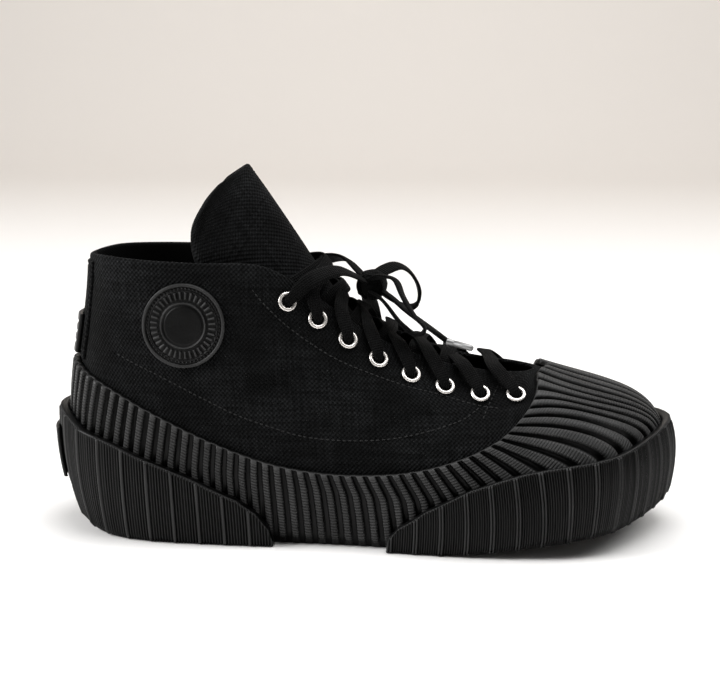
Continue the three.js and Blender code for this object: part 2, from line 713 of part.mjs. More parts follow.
// The tongue's front nearest to a point in the middle plane, and the direction that it faces
function tongueNear(point) {
  const rowsUp = spread(90, 0, TONGUE.length - 1);
  const away = (t) => Math.hypot(tongueRow(t).x - point.x, tongueRow(t).z - point.z);
  const t = rowsUp.reduce((best, next) => (away(next) < away(best) ? next : best));
  const [a, b] = [tonguePoint(Math.max(0, t - 0.1), 0, 0), tonguePoint(t + 0.1, 0, 0)];
  const face = new THREE.Vector3(b.z - a.z, 0, a.x - b.x).normalize();
  return { front: tonguePoint(t, 0, 0), face };
}

function makeCrossing(k) {
  const edges = ["outer", "inner"].map((side) => {
    const [a, b] = [rows[side][k], rows[side][k + 1]];
    return { near: a.u + 0.08 * (b.u - a.u), far: a.u + 0.6 * (b.u - a.u), seat: a };
  });
  const middle = new THREE.Vector3();
  edges.forEach(({ near, far }) => middle.add(rimPoint(near, 0)).add(rimPoint(far, 0)));
  middle.multiplyScalar(0.25);
  const { front, face } = tongueNear(middle);
  const rise = Math.max(CROSS_RISE, front.clone().sub(middle).dot(face) + CROSS_CLEAR);
  middle.addScaledVector(face, rise);
  const strands = edges.map((edge, i) => {
    const far = rimPoint(edges[1 - i].far, 0);
    return solidOf(makeRibbon(strandPath(edge.seat, edge.near, middle, face, far), 1));
  });
  return geometryOf(strands[0].add(strands[1]));
}

function makeBar() {
  const ends = ["outer", "inner"].map((side) => rows[side][0]);
  const face = new THREE.Vector3(0.2, 0, 1).normalize();
  const middle = rimPoint(ends[0].u, LACE_OVER).add(rimPoint(ends[1].u, LACE_OVER)).multiplyScalar(0.5);
  middle.z += 0.8;
  const path = [
    { p: skin(ends[0].u, ends[0].v, LACE_OVER), face: lastNormal(ends[0].u, ends[0].v) },
    { p: rimPoint(ends[0].u, LACE_OVER), face: lastNormal(ends[0].u, 0.99) },
    { p: middle, face },
    { p: rimPoint(ends[1].u, LACE_OVER), face: lastNormal(ends[1].u, 0.99) },
    { p: skin(ends[1].u, ends[1].v, LACE_OVER), face: lastNormal(ends[1].u, ends[1].v) },
  ];
  return makeRibbon(path, 2);
}

// The bow, from the knot out: each point with the direction that the lace's flat side faces
const KNOT = { at: [4, 0, 121], size: [15, 17, 14] };
const BOW_COLUMNS = ["x", "y", "z", "faceX", "faceY", "faceZ"];
const BOW = {
  lace_strand_outer: [
    [-23, -27, 128.5, 0.3, -0.7, 0.7], [-11, -17, 131, 0.3, -0.4, 0.9], [-1, -5, 125, 0.3, -0.2, 0.95],
  ],
  lace_strand_inner: [
    [-23, 27, 128.5, 0.3, 0.7, 0.7], [-11, 17, 131, 0.3, 0.4, 0.9], [-1, 5, 125, 0.3, 0.2, 0.95],
  ],
  lace_loop_outer: [
    [6, -5, 125, 0.2, 0, 0.9], [10, -9, 127, 0.4, 0, 0.9], [16, -13, 126, 0.8, -0.2, 0.5],
    [20, -18, 119, 1, -0.2, 0.3],
    [26, -22, 110, 1, 0, 0.6], [31, -24, 104.5, 0.7, 0, 0.1], [27, -22, 101, -0.5, 0, -1],
    [19, -18, 106, -0.8, 0, -0.6], [11, -12, 114.5, -0.9, 0, -0.5],
    [6, -6, 117.5, -0.6, 0, -0.8],
  ],
  lace_loop_inner: [
    [6, 5, 125, 0.2, 0, 0.9], [10, 9, 127, 0.4, 0, 0.9], [16, 15, 128, 0.6, 0.2, 0.8],
    [22, 23, 123, 0.9, 0.3, 0.5],
    [26, 31, 113, 1, 0.2, 0.2], [25, 34, 105, 0.4, 0, -0.8], [19, 30, 104, -0.6, 0, -0.8],
    [13, 21, 110, -0.8, -0.2, -0.6], [9, 12, 115, -0.8, 0, -0.6],
    [6, 6, 117.5, -0.6, 0, -0.8],
  ],
  lace_end_outer: [
    [7, -1, 119, 0.6, 0, 0.8], [13, -3, 116, 0.6, 0, 0.8], [21, -7, 110, 0.6, 0, 0.8],
    [31, -13, 104, 0.5, 0, 0.9], [42, -20, 97.5, 0.4, 0, 0.9],
  ],
  lace_end_inner: [
    [1, 4, 117, 0.2, 0.2, 0.9], [0, 11, 114, 0.2, 0.4, 0.8], [1, 20, 111, 0.2, 0.5, 0.8],
    [2, 32, 103, 0.1, 0.8, 0.6],
    [6, 40, 91, 0.1, 0.95, 0.3],
  ],
};
const AGLETS = {
  aglet_outer: { from: [42.6, -20.5, 97.2], to: [54, -25, 95.5] },
  aglet_inner: { from: [6.2, 40.3, 90.2], to: [9, 43, 79] },
};
const AGLET_R = 1.6;

function bowPath(name) {
  const path = BOW[name].map((values) => {
    const row = Object.fromEntries(BOW_COLUMNS.map((c, i) => [c, values[i]]));
    const face = new THREE.Vector3(row.faceX, row.faceY, row.faceZ);
    return { p: new THREE.Vector3(row.x, row.y, row.z), face };
  });
  if (!name.startsWith("lace_strand")) return path;
  const seat = rows[name.endsWith("outer") ? "outer" : "inner"][EYELETS_A_SIDE - 1];
  return [{ p: skin(seat.u, seat.v, LACE_OVER), face: lastNormal(seat.u, seat.v) }, ...path];
}

function makeKnot(clear) {
  const ball = new THREE.SphereGeometry(0.5, 10, 6);
  return ball.scale(...KNOT.size.map((d) => d + 2 * clear)).translate(...KNOT.at);
}

function makeBowPiece(name) {
  const ribbon = solidOf(makeRibbon(bowPath(name), BOW[name].length > 6 ? 1 : 2));
  return geometryOf(ribbon.subtract(solidOf(makeKnot(2 * GAP))));
}

function makeAglet({ from, to }) {
  const [a, b] = [from, to].map((p) => new THREE.Vector3(...p));
  const tube = new THREE.CylinderGeometry(AGLET_R, AGLET_R, a.distanceTo(b), 8);
  const along = b.clone().sub(a).normalize();
  const turn = new THREE.Quaternion().setFromUnitVectors(new THREE.Vector3(0, 1, 0), along);
  return tube.applyQuaternion(turn).translate(...a.add(b).multiplyScalar(0.5).toArray());
}

// Materials and the assembly
const canvas = new THREE.MeshStandardMaterial({ color: 0x141416, roughness: 0.95, metalness: 0 });
const rubber = new THREE.MeshStandardMaterial({ color: 0x1b1b1c, roughness: 0.6, metalness: 0 });
const lining = new THREE.MeshStandardMaterial({ color: 0x0e0e0f, roughness: 0.95, metalness: 0 });
const cotton = new THREE.MeshStandardMaterial({ color: 0x17171a, roughness: 0.95, metalness: 0 });
const nickel = new THREE.MeshStandardMaterial({ color: 0xc9c6ba, roughness: 0.25, metalness: 1 });

const shoe = new THREE.Group();

function add(name, geometry, material) {
  const mesh = new THREE.Mesh(geometry, material);
  mesh.name = name;
  shoe.add(mesh);
}

add("outsole", makeOutsole(), rubber);
add("insole", makeInsole(), lining);
add("upper", makeUpper([...rows.outer, ...rows.inner].map(eyeletHole)), canvas);
add("rib_guard", makeGuard(), rubber);
const heelEnd = HEEL_WRAP_TOP[HEEL_WRAP_TOP.length - 1].x;
const heelSpan = [sectionAt(heelEnd, "inner") - LOOP, sectionAt(heelEnd, "outer")];
const toeSpan = ["outer", "inner"].map((side) => sectionAt(TOE_WRAP_TOP[0].x, side));
add("heel_wrap", makeWrap(...heelSpan, HEEL_WRAP_TOP, 0), rubber);
add("toe_wrap", makeWrap(...toeSpan, TOE_WRAP_TOP, TOE_LINE_LEAN), rubber);
add("tongue", makeTongue(), canvas);
add("heel_strip", makeHeelStrip(), canvas);
add("heel_label", makeHeelLabel(), rubber);
add("heel_plate", makeHeelPlate(), rubber);
add("ankle_badge", makeBadge(), rubber);
for (const [side, seats] of Object.entries(rows)) {
  seats.forEach((seat, i) => add(`eyelet_${side}_${i + 1}`, makeEyelet(seat), nickel));
}

add("lace_bar", makeBar(), cotton);
for (let k = 1; k < EYELETS_A_SIDE - 1; k++) add(`lace_cross_${k}`, makeCrossing(k), cotton);
for (const name of Object.keys(BOW)) add(name, makeBowPiece(name), cotton);
add("lace_knot", makeKnot(0), cotton);
for (const [name, ends] of Object.entries(AGLETS)) add(name, makeAglet(ends), nickel);

export default shoe;
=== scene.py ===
"""Looks of a right ankle-height canvas sneaker with a ribbed rubber sole."""
import logging
import math
from dataclasses import dataclass, field
from enum import Enum
from typing import Any, Sequence

import bpy
import numpy as np
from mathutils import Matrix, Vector


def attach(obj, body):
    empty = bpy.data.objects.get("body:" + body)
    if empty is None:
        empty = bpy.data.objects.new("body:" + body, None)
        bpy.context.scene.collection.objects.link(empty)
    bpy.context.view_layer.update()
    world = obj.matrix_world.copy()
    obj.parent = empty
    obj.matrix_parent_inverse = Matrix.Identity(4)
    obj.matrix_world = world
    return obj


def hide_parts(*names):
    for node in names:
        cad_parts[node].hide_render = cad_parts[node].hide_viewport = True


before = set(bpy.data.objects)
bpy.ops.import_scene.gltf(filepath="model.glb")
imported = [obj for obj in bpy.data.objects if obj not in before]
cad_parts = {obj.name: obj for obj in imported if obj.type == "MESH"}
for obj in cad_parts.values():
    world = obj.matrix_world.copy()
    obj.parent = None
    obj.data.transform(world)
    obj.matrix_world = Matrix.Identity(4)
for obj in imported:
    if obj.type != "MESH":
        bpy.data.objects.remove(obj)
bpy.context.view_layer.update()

LOG = logging.getLogger("sneaker")
MM = 0.001
Array = np.ndarray
Pairs = Sequence[tuple[float, float]]


class Side(Enum):
    """The two sides of the shoe."""

    OUTER = "outer"
    INNER = "inner"


class Slot(Enum):
    """Material slots of the record."""

    CANVAS = "canvas"
    RUBBER = "rubber"
    LINING = "lining"
    COTTON = "cotton"
    NICKEL = "nickel"


# Small geometry helpers

def unit(a: Array) -> Array:
    """Vectors of length one along the last axis."""
    return a / np.maximum(np.linalg.norm(a, axis=-1, keepdims=True), 1e-9)


def smooth(a: Array, low: float, high: float) -> Array:
    """A soft step from 0 at low to 1 at high."""
    t = np.clip((np.asarray(a, float) - low) / (high - low), 0, 1)
    return t * t * (3 - 2 * t)


def catmull(p0: Array, p1: Array, p2: Array, p3: Array, t: Array) -> Array:
    """One span of a Catmull-Rom curve.

    Args:
        p0, p1, p2, p3: the four control values; the span runs from p1 to p2.
        t: share of the span.

    Returns:
        The value at t.
    """
    return 0.5 * (2 * p1 + t * ((p2 - p0) + t * ((2 * p0 - 5 * p1 + 4 * p2 - p3) + t * (3 * p1 - p0 - 3 * p2 + p3))))


def table(rows: Pairs, x: Array) -> Array:
    """A smooth curve through a short table, held at its ends.

    Args:
        rows: pairs of x and value, x rising.
        x: where the value is wanted.

    Returns:
        The values.
    """
    xs, zs = np.array(rows, float).T
    x = np.clip(np.asarray(x, float), xs[0], xs[-1])
    i = np.clip(np.searchsorted(xs, x, side="right") - 1, 0, len(xs) - 2)
    t = (x - xs[i]) / (xs[i + 1] - xs[i])
    z = lambda k: zs[np.clip(k, 0, len(zs) - 1)]
    return catmull(z(i - 1), z(i), z(i + 1), z(i + 2), t)


def curve(points: Array, count: int) -> Array:
    """Even samples of a smooth curve through points, any columns after x, y, z carried along.

    Args:
        points: control rows; the first three columns are a place.
        count: number of samples.

    Returns:
        count rows.
    """
    p = np.asarray(points, float)
    knots = np.concatenate([[0], np.cumsum(np.linalg.norm(np.diff(p[:, :3], axis=0), axis=1) ** 0.5)])
    p = np.vstack([2 * p[0] - p[1], p, 2 * p[-1] - p[-2]])
    knots = np.concatenate([[2 * knots[0] - knots[1]], knots, [2 * knots[-1] - knots[-2]]])
    s = np.linspace(knots[1], knots[-2], 40 * len(points))
    i = np.clip(np.searchsorted(knots, s, side="right") - 1, 1, len(knots) - 3)
    k = [knots[i + d][:, None] for d in (-1, 0, 1, 2)]
    q = [p[i + d] for d in (-1, 0, 1, 2)]
    s = s[:, None]
    blend = lambda a, b, ta, tb: ((tb - s) * a + (s - ta) * b) / (tb - ta)
    a1, a2, a3 = blend(q[0], q[1], k[0], k[1]), blend(q[1], q[2], k[1], k[2]), blend(q[2], q[3], k[2], k[3])
    dense = blend(blend(a1, a2, k[0], k[2]), blend(a2, a3, k[1], k[3]), k[1], k[2])
    walked = np.concatenate([[0], np.cumsum(np.linalg.norm(np.diff(dense[:, :3], axis=0), axis=1))])
    at = np.linspace(0, walked[-1], count)
    return np.stack([np.interp(at, walked, dense[:, c]) for c in range(dense.shape[1])], 1)


def run_length(points: Array, axis: int) -> Array:
    """Distance walked along an axis of a grid of points, from its start."""
    step = np.linalg.norm(np.diff(points, axis=axis), axis=-1)
    start = np.zeros_like(np.take(step, [0], axis=axis))
    return np.concatenate([start, np.cumsum(step, axis=axis)], axis=axis)


# Small mesh helpers

def only(piece: bpy.types.Object) -> None:
    """Selects one object and makes it the active one."""
    bpy.ops.object.select_all(action="DESELECT")
    piece.select_set(True)
    bpy.context.view_layer.objects.active = piece


def modify(piece: bpy.types.Object, kind: str, **values: Any) -> None:
    """Adds a modifier with these values and applies it."""
    only(piece)
    modifier = piece.modifiers.new(kind.lower(), kind)
    for name, value in values.items():
        setattr(modifier, name, value)
    bpy.ops.object.modifier_apply(modifier=modifier.name)


def lattice(
    name: str, points: Array, uv: Array | None = None, shell: bool = False,
    marks: dict[str, Array] | None = None,
) -> bpy.types.Object:
    """A grid primitive whose crossings are set on a grid of points.

    Args:
        name: the piece's name.
        points: places in millimetres, shape (columns, rows, 3).
        uv: surface coordinates in millimetres, shape (columns, rows, 2).
        shell: whether the grid closes on itself, so that its seams and poles are merged.
        marks: values for each crossing, kept as attributes.

    Returns:
        The piece.
    """
    columns, rows = points.shape[:2]
    bpy.ops.object.select_all(action="DESELECT")
    bpy.ops.mesh.primitive_grid_add(x_subdivisions=columns - 1, y_subdivisions=rows - 1, size=0.1)
    piece = bpy.context.object
    piece.name = piece.data.name = name
    mesh = piece.data
    mesh.vertices.foreach_set("co", (points.transpose(1, 0, 2) * MM).ravel())
    if uv is not None:
        corner = np.empty(len(mesh.loops), np.int32)
        mesh.loops.foreach_get("vertex_index", corner)
        flat = uv.transpose(1, 0, 2).reshape(-1, 2)
        mesh.uv_layers.active.data.foreach_set("uv", flat[corner].ravel())
    for mark, values in (marks or {}).items():
        attribute = mesh.attributes.new(mark, "FLOAT", "POINT")
        attribute.data.foreach_set("value", np.broadcast_to(values, (columns, rows)).T.ravel())
    mesh.update()
    if shell:
        bpy.ops.object.mode_set(mode="EDIT")
        bpy.ops.mesh.select_all(action="SELECT")
        bpy.ops.mesh.remove_doubles(threshold=2e-6)
        bpy.ops.mesh.normals_make_consistent(inside=False)
        bpy.ops.object.mode_set(mode="OBJECT")
    bpy.ops.object.shade_smooth()
    return piece


def capped(rings: Array) -> Array:
    """Rings of a tube with a pole added at each end.

    Args:
        rings: shape (rings, points, 3 or 2).

    Returns:
        The same with one collapsed ring before and after.
    """
    pole = lambda ring: np.broadcast_to(ring[:-1].mean(0), ring.shape)
    return np.concatenate([pole(rings[0])[None], rings, pole(rings[-1])[None]])


def copies(name: str, template: bpy.types.Object, places: Array, frames: Array) -> bpy.types.Object:
    """One piece made of many copies of a small template, which is then removed.

    Args:
        name: the piece's name.
        template: the shape to copy, in metres round the origin.
        places: shape (n, 3), millimetres.
        frames: shape (n, 3, 3), rows are the copies' x, y and z directions.

    Returns:
        The piece.
    """
    mesh = template.data
    co = np.empty(len(mesh.vertices) * 3)
    mesh.vertices.foreach_get("co", co)
    co = co.reshape(-1, 3)
    faces = [tuple(p.vertices) for p in mesh.polygons]
    every = np.einsum("vk,nkd->nvd", co, frames) + places[:, None] * MM
    made = bpy.data.meshes.new(name)
    shift = np.arange(len(places)) * len(co)
    made.from_pydata(every.reshape(-1, 3), [], [tuple(v + s for v in f) for s in shift for f in faces])
    bpy.data.objects.remove(template)
    piece = bpy.data.objects.new(name, made)
    bpy.context.scene.collection.objects.link(piece)
    only(piece)
    bpy.ops.object.shade_smooth()
    return piece


def settle(piece: bpy.types.Object, slot: Slot, finish: bpy.types.Material, *nodes: str) -> bpy.types.Object:
    """Gives a piece its finish and its body, and hides the CAD nodes that it stands for.

    Args:
        piece: the finished mesh.
        slot: the record's material slot; not used.
        finish: its material, unless the piece already has some.
        nodes: CAD nodes that it replaces.

    Returns:
        The piece.
    """
    if not piece.data.materials:
        piece.data.materials.append(finish)
    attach(piece, "root")
    if nodes:
        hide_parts(*nodes)
    LOG.info("%s: %d faces", piece.name, len(piece.data.polygons))
    return piece


# Finishes

class Shader:
    """A node tree with short ways to add and join nodes."""

    def __init__(self, tree: bpy.types.NodeTree) -> None:
        """Keeps the tree."""
        self.tree = tree

    def add(self, kind: str, inputs: dict[Any, Any] | None = None, **values: Any) -> bpy.types.Node:
        """Adds a node, sets its properties, and sets or joins its inputs.

        Args:
            kind: the node's type.
            inputs: values or output sockets by input name or number.
            values: properties of the node.

        Returns:
            The node.
        """
        node = self.tree.nodes.new(kind)
        for name, value in values.items():
            setattr(node, name, value)
        for name, value in (inputs or {}).items():
            self.feed(node.inputs[name], value)
        return node

    def feed(self, socket: bpy.types.NodeSocket, value: Any) -> None:
        """Sets an input, or joins it to an output socket."""
        if isinstance(value, bpy.types.NodeSocket):
            self.tree.links.new(value, socket)
        else:
            socket.default_value = value

    def math(self, operation: str, *values: Any) -> bpy.types.NodeSocket:
        """A Math node on these values or sockets."""
        return self.add("ShaderNodeMath", dict(enumerate(values)), operation=operation).outputs[0]

    def noise(self, vector: Any, scale: float, detail: float = 2.0) -> bpy.types.NodeSocket:
        """A noise value at this scale."""
        inputs = {"Vector": vector, "Scale": scale, "Detail": detail}
        return self.add("ShaderNodeTexNoise", inputs).outputs["Fac"]

    def ramp(self, value: Any, low: float, high: float) -> bpy.types.NodeSocket:
        """A soft step of a value from 0 at low to 1 at high."""
        inputs = {"Value": value, "From Min": low, "From Max": high}
        return self.add("ShaderNodeMapRange", inputs, interpolation_type="SMOOTHSTEP").outputs[0]

    def mix(self, share: Any, a: Sequence[float], b: Any) -> bpy.types.NodeSocket:
        """A colour between two others."""
        node = self.add("ShaderNodeMix", data_type="RGBA")
        for socket, value in zip((node.inputs[0], node.inputs[6], node.inputs[7]), (share, a, b)):
            self.feed(socket, value)
        return node.outputs[2]


def grey(value: float, warm: float = 0.0) -> tuple[float, float, float, float]:
    """A near-grey colour; warm moves it from blue to yellow."""
    return (value * (1 + warm), value, value * (1 - warm), 1.0)


def group(name: str, inputs: Sequence[str], outputs: Sequence[str]) -> tuple[Shader, Any, Any]:
    """An empty shader node group with a vector input, more inputs and outputs.

    Args:
        name: the group's name.
        inputs: names of value inputs after the vector.
        outputs: names of value outputs.

    Returns:
        The shader helper, the group's input node and its output node.
    """
    tree = bpy.data.node_groups.new(name, "ShaderNodeTree")
    tree.interface.new_socket("Vector", in_out="INPUT", socket_type="NodeSocketVector")
    for label in inputs:
        tree.interface.new_socket(label, in_out="INPUT", socket_type="NodeSocketFloat")
    for label in outputs:
        tree.interface.new_socket(label, in_out="OUTPUT", socket_type="NodeSocketFloat")
    shader = Shader(tree)
    return shader, shader.add("NodeGroupInput"), shader.add("NodeGroupOutput")


def weave_group() -> bpy.types.NodeTree:
    """Plain weave over surface millimetres: thread height, and a slow change from thread to thread."""
    s, given, out = group("plain_weave", ["Pitch"], ["Height", "Slub"])
    at = s.add("ShaderNodeSeparateXYZ", {0: given.outputs["Vector"]})
    waves = []
    streaks = []
    for k in (0, 1):
        step = s.math("DIVIDE", at.outputs[k], given.outputs["Pitch"])
        waves.append(s.math("COSINE", s.math("MULTIPLY", step, math.pi)))
        other = s.math("MULTIPLY", at.outputs[1 - k], 0.06)
        line = s.add("ShaderNodeCombineXYZ", {0: step, 1: other, 2: float(7 * k)})
        streaks.append(s.noise(line.outputs[0], 0.9, 1.0))
    crossing = s.math("MULTIPLY", waves[0], waves[1])
    s.feed(out.inputs["Height"], s.math("MULTIPLY_ADD", crossing, 0.5, 0.5))
    s.feed(out.inputs["Slub"], s.math("MULTIPLY_ADD", s.math("ADD", *streaks), 0.5, 0.0))
    return s.tree


def grain_group() -> bpy.types.NodeTree:
    """Fine skin of moulded rubber over object coordinates: height, and dull patches."""
    s, given, out = group("rubber_grain", ["Scale"], ["Height", "Patch"])
    vector = s.add("ShaderNodeVectorMath", {0: given.outputs["Vector"]}, operation="SCALE")
    s.feed(vector.inputs["Scale"], given.outputs["Scale"])
    s.feed(out.inputs["Height"], s.noise(vector.outputs[0], 1.0, 3.0))
    s.feed(out.inputs["Patch"], s.noise(vector.outputs[0], 0.045, 4.0))
    return s.tree


@dataclass(frozen=True)
class Finish:
    """A named material on the shared node groups."""

    name: str
    dark: tuple[float, float, float, float]
    light: tuple[float, float, float, float]
    roughness: float

    def start(self) -> tuple[Shader, bpy.types.Node, bpy.types.Material]:
        """A new material with its principled shader."""
        material = bpy.data.materials.new(self.name)
        material.use_nodes = True
        bsdf = material.node_tree.nodes["Principled BSDF"]
        bsdf.inputs["Roughness"].default_value = self.roughness
        return Shader(material.node_tree), bsdf, material

    def bump(self, s: Shader, bsdf: bpy.types.Node, height: Any, distance: float) -> None:
        """Joins a height to the shader's normal."""
        node = s.add("ShaderNodeBump", {"Height": height, "Strength": 1.0, "Distance": distance})
        s.feed(bsdf.inputs["Normal"], node.outputs[0])

    def place(self, s: Shader, uv: bool) -> bpy.types.NodeSocket:
        """Surface millimetres, or object coordinates."""
        return s.add("ShaderNodeTexCoord").outputs["UV" if uv else "Object"]

    def use(self, s: Shader, tree: bpy.types.NodeTree, **inputs: Any) -> bpy.types.Node:
        """Places a shared node group."""
        node = s.add("ShaderNodeGroup", node_tree=tree)
        for label, value in inputs.items():
            s.feed(node.inputs[label], value)
        return node


@dataclass(frozen=True)
class Cloth(Finish):
    """Woven cloth: canvas, lining or lace."""

    pitch: float = 1.1
    depth: float = 0.0003
    turn: float = 0.0
    sheen: float = 0.02

    def make(self, weave: bpy.types.NodeTree) -> bpy.types.Material:
        """The material: weave in height and colour, with the thread crowns lighter as painted highlight and the gaps
        darker as painted shade, slubs, and rubbed patches.
        """
        s, bsdf, material = self.start()
        uv = self.place(s, True)
        turned = s.add("ShaderNodeMapping", {"Vector": uv, "Rotation": (0, 0, self.turn)}).outputs[0]
        cloth = self.use(s, weave, Vector=turned, Pitch=self.pitch)
        rubbed = s.noise(uv, 0.035, 4.0)
        # Painted highlight: the weave's height lightens the thread crowns and darkens the gaps between threads in the
        # base colour.
        tone = s.math("MULTIPLY", cloth.outputs["Height"], s.ramp(cloth.outputs["Slub"], 0.25, 0.75))
        tone = s.math("MULTIPLY", tone, s.ramp(rubbed, 0.15, 0.8))
        s.feed(bsdf.inputs["Base Color"], s.mix(tone, self.dark, self.light))
        lift = s.math("MULTIPLY_ADD", cloth.outputs["Slub"], 0.5, cloth.outputs["Height"])
        self.bump(s, bsdf, lift, self.depth)
        bsdf.inputs["Sheen Weight"].default_value = self.sheen
        bsdf.inputs["Sheen Roughness"].default_value = 0.45
        bsdf.inputs["Specular IOR Level"].default_value = 0.08
        return material


@dataclass(frozen=True)
class Rubber(Finish):
    """Moulded rubber, with painted shade in its grooves and a painted highlight on its ridges."""

    notch: float = 0.0
    relief: bool = False

    def make(self, grain: bpy.types.NodeTree) -> bpy.types.Material:
        """The material: skin grain, painted highlight on the ridges, painted shade in the grooves, and cross notches
        where the piece has them.
        """
        s, bsdf, material = self.start()
        skin = self.use(s, grain, Vector=self.place(s, False), Scale=900.0)
        patch = s.ramp(skin.outputs["Patch"], 0.3, 0.7)
        height = s.math("MULTIPLY", skin.outputs["Height"], 0.25)
        tone = s.math("MULTIPLY", patch, 0.5)
        if self.relief:
            # Painted highlight and shade: the relief mark makes ridge tops lighter and grooves darker in the base
            # colour.
            ridge = s.add("ShaderNodeAttribute", attribute_name="relief").outputs["Fac"]
            top = s.ramp(ridge, 0.45, 1.0)
            tone = s.math("MULTIPLY", top, s.math("MULTIPLY_ADD", patch, 0.4, 0.6))
            if self.notch:
                along = s.add("ShaderNodeSeparateXYZ", {0: self.place(s, True)}).outputs[1]
                wave = s.math("COSINE", s.math("MULTIPLY", along, 2 * math.pi / self.notch))
                deep = s.add("ShaderNodeAttribute", attribute_name="notch").outputs["Fac"]
                tooth = s.math("MULTIPLY", s.ramp(wave, -0.9, 0.3), s.math("MULTIPLY", top, deep))
                height = s.math("MULTIPLY_ADD", tooth, 2.4, height)
                # Painted shade: the colour is darkened in the notch cuts between the teeth.
                cut = s.math("MULTIPLY", s.math("SUBTRACT", 1.0, s.ramp(wave, -0.9, 0.0)), deep)
                tone = s.math("MULTIPLY", tone, s.math("MULTIPLY_ADD", cut, -0.7, 1.0))
        s.feed(bsdf.inputs["Base Color"], s.mix(tone, self.dark, self.light))
        s.feed(bsdf.inputs["Roughness"], s.math("MULTIPLY_ADD", patch, 0.16, self.roughness - 0.08))
        self.bump(s, bsdf, height, 0.0003)
        bsdf.inputs["Specular IOR Level"].default_value = 0.18
        return material


@dataclass(frozen=True)
class Metal(Finish):
    """Plated metal with fine scratches."""

    def make(self, grain: bpy.types.NodeTree) -> bpy.types.Material:
        """The material: slight change of colour and gloss."""
        s, bsdf, material = self.start()
        skin = self.use(s, grain, Vector=self.place(s, False), Scale=1500.0)
        s.feed(bsdf.inputs["Base Color"], s.mix(s.ramp(skin.outputs["Patch"], 0.3, 0.7), self.dark, self.light))
        s.feed(bsdf.inputs["Roughness"], s.math("MULTIPLY_ADD", skin.outputs["Height"], 0.12, self.roughness))
        bsdf.inputs["Metallic"].default_value = 0.75
        self.bump(s, bsdf, skin.outputs["Height"], 0.00003)
        return material


@dataclass(frozen=True)
class Backdrop(Finish):
    """Matt pale floor and wall."""

    def make(self) -> bpy.types.Material:
        """The material: white floor and a cream wall."""
        s, bsdf, material = self.start()
        depth = s.add("ShaderNodeSeparateXYZ", {0: self.place(s, False)}).outputs[1]
        s.feed(bsdf.inputs["Base Color"], s.mix(s.ramp(depth, 0.4, 1.4), self.light, self.dark))
        bsdf.inputs["Specular IOR Level"].default_value = 0.1
        return material


@dataclass
class Finishes:
    """All materials of the shoe and its stage."""

    canvas: bpy.types.Material = field(init=False)
    lining: bpy.types.Material = field(init=False)
    cotton: bpy.types.Material = field(init=False)
    thread: bpy.types.Material = field(init=False)
    footbed: bpy.types.Material = field(init=False)
    ribs: bpy.types.Material = field(init=False)
    strip: bpy.types.Material = field(init=False)
    plain: bpy.types.Material = field(init=False)
    nickel: bpy.types.Material = field(init=False)
    tip: bpy.types.Material = field(init=False)
    stage: bpy.types.Material = field(init=False)

    def __post_init__(self) -> None:
        """Makes each material once."""
        weave, grain = weave_group(), grain_group()
        dark = grey(0.0006, -0.05)
        # The light colours of the cloths are the painted highlight on their thread crowns.
        self.canvas = Cloth("black_canvas", dark, grey(0.024, -0.05), 0.9, pitch=1.15, depth=0.0005).make(weave)
        self.lining = Cloth("black_lining", dark, grey(0.004), 0.95, pitch=0.7, depth=0.0002).make(weave)
        self.cotton = Cloth(
            "black_lace", dark, grey(0.013, 0.0), 0.9, pitch=0.8, depth=0.0004, turn=0.785
        ).make(weave)
        self.thread = Cloth("black_thread", grey(0.012), grey(0.06), 0.7, pitch=0.5, depth=0.0001).make(weave)
        self.footbed = Cloth("footbed_cloth", dark, grey(0.006), 0.95, pitch=0.9, depth=0.0002).make(weave)
        # The light colours of the ribbed and lined rubber are the painted highlight on their ridge tops.
        low, high = grey(0.0005), grey(0.05, 0.0)
        self.ribs = Rubber("ribbed_rubber", low, high, 0.45, notch=1.45, relief=True).make(grain)
        self.strip = Rubber("lined_rubber", low, grey(0.032), 0.42, relief=True).make(grain)
        self.plain = Rubber("plain_rubber", grey(0.002), grey(0.006), 0.5).make(grain)
        self.nickel = Metal("eyelet_metal", grey(0.72, 0.05), grey(0.86, 0.05), 0.22).make(grain)
        self.tip = Metal("lace_tip_metal", grey(0.25), grey(0.35), 0.35).make(grain)
        self.stage = Backdrop("pale_stage", grey(0.8, 0.06), grey(0.87, 0.01), 0.9).make()


# The shoe's form, from the same tables as its solids

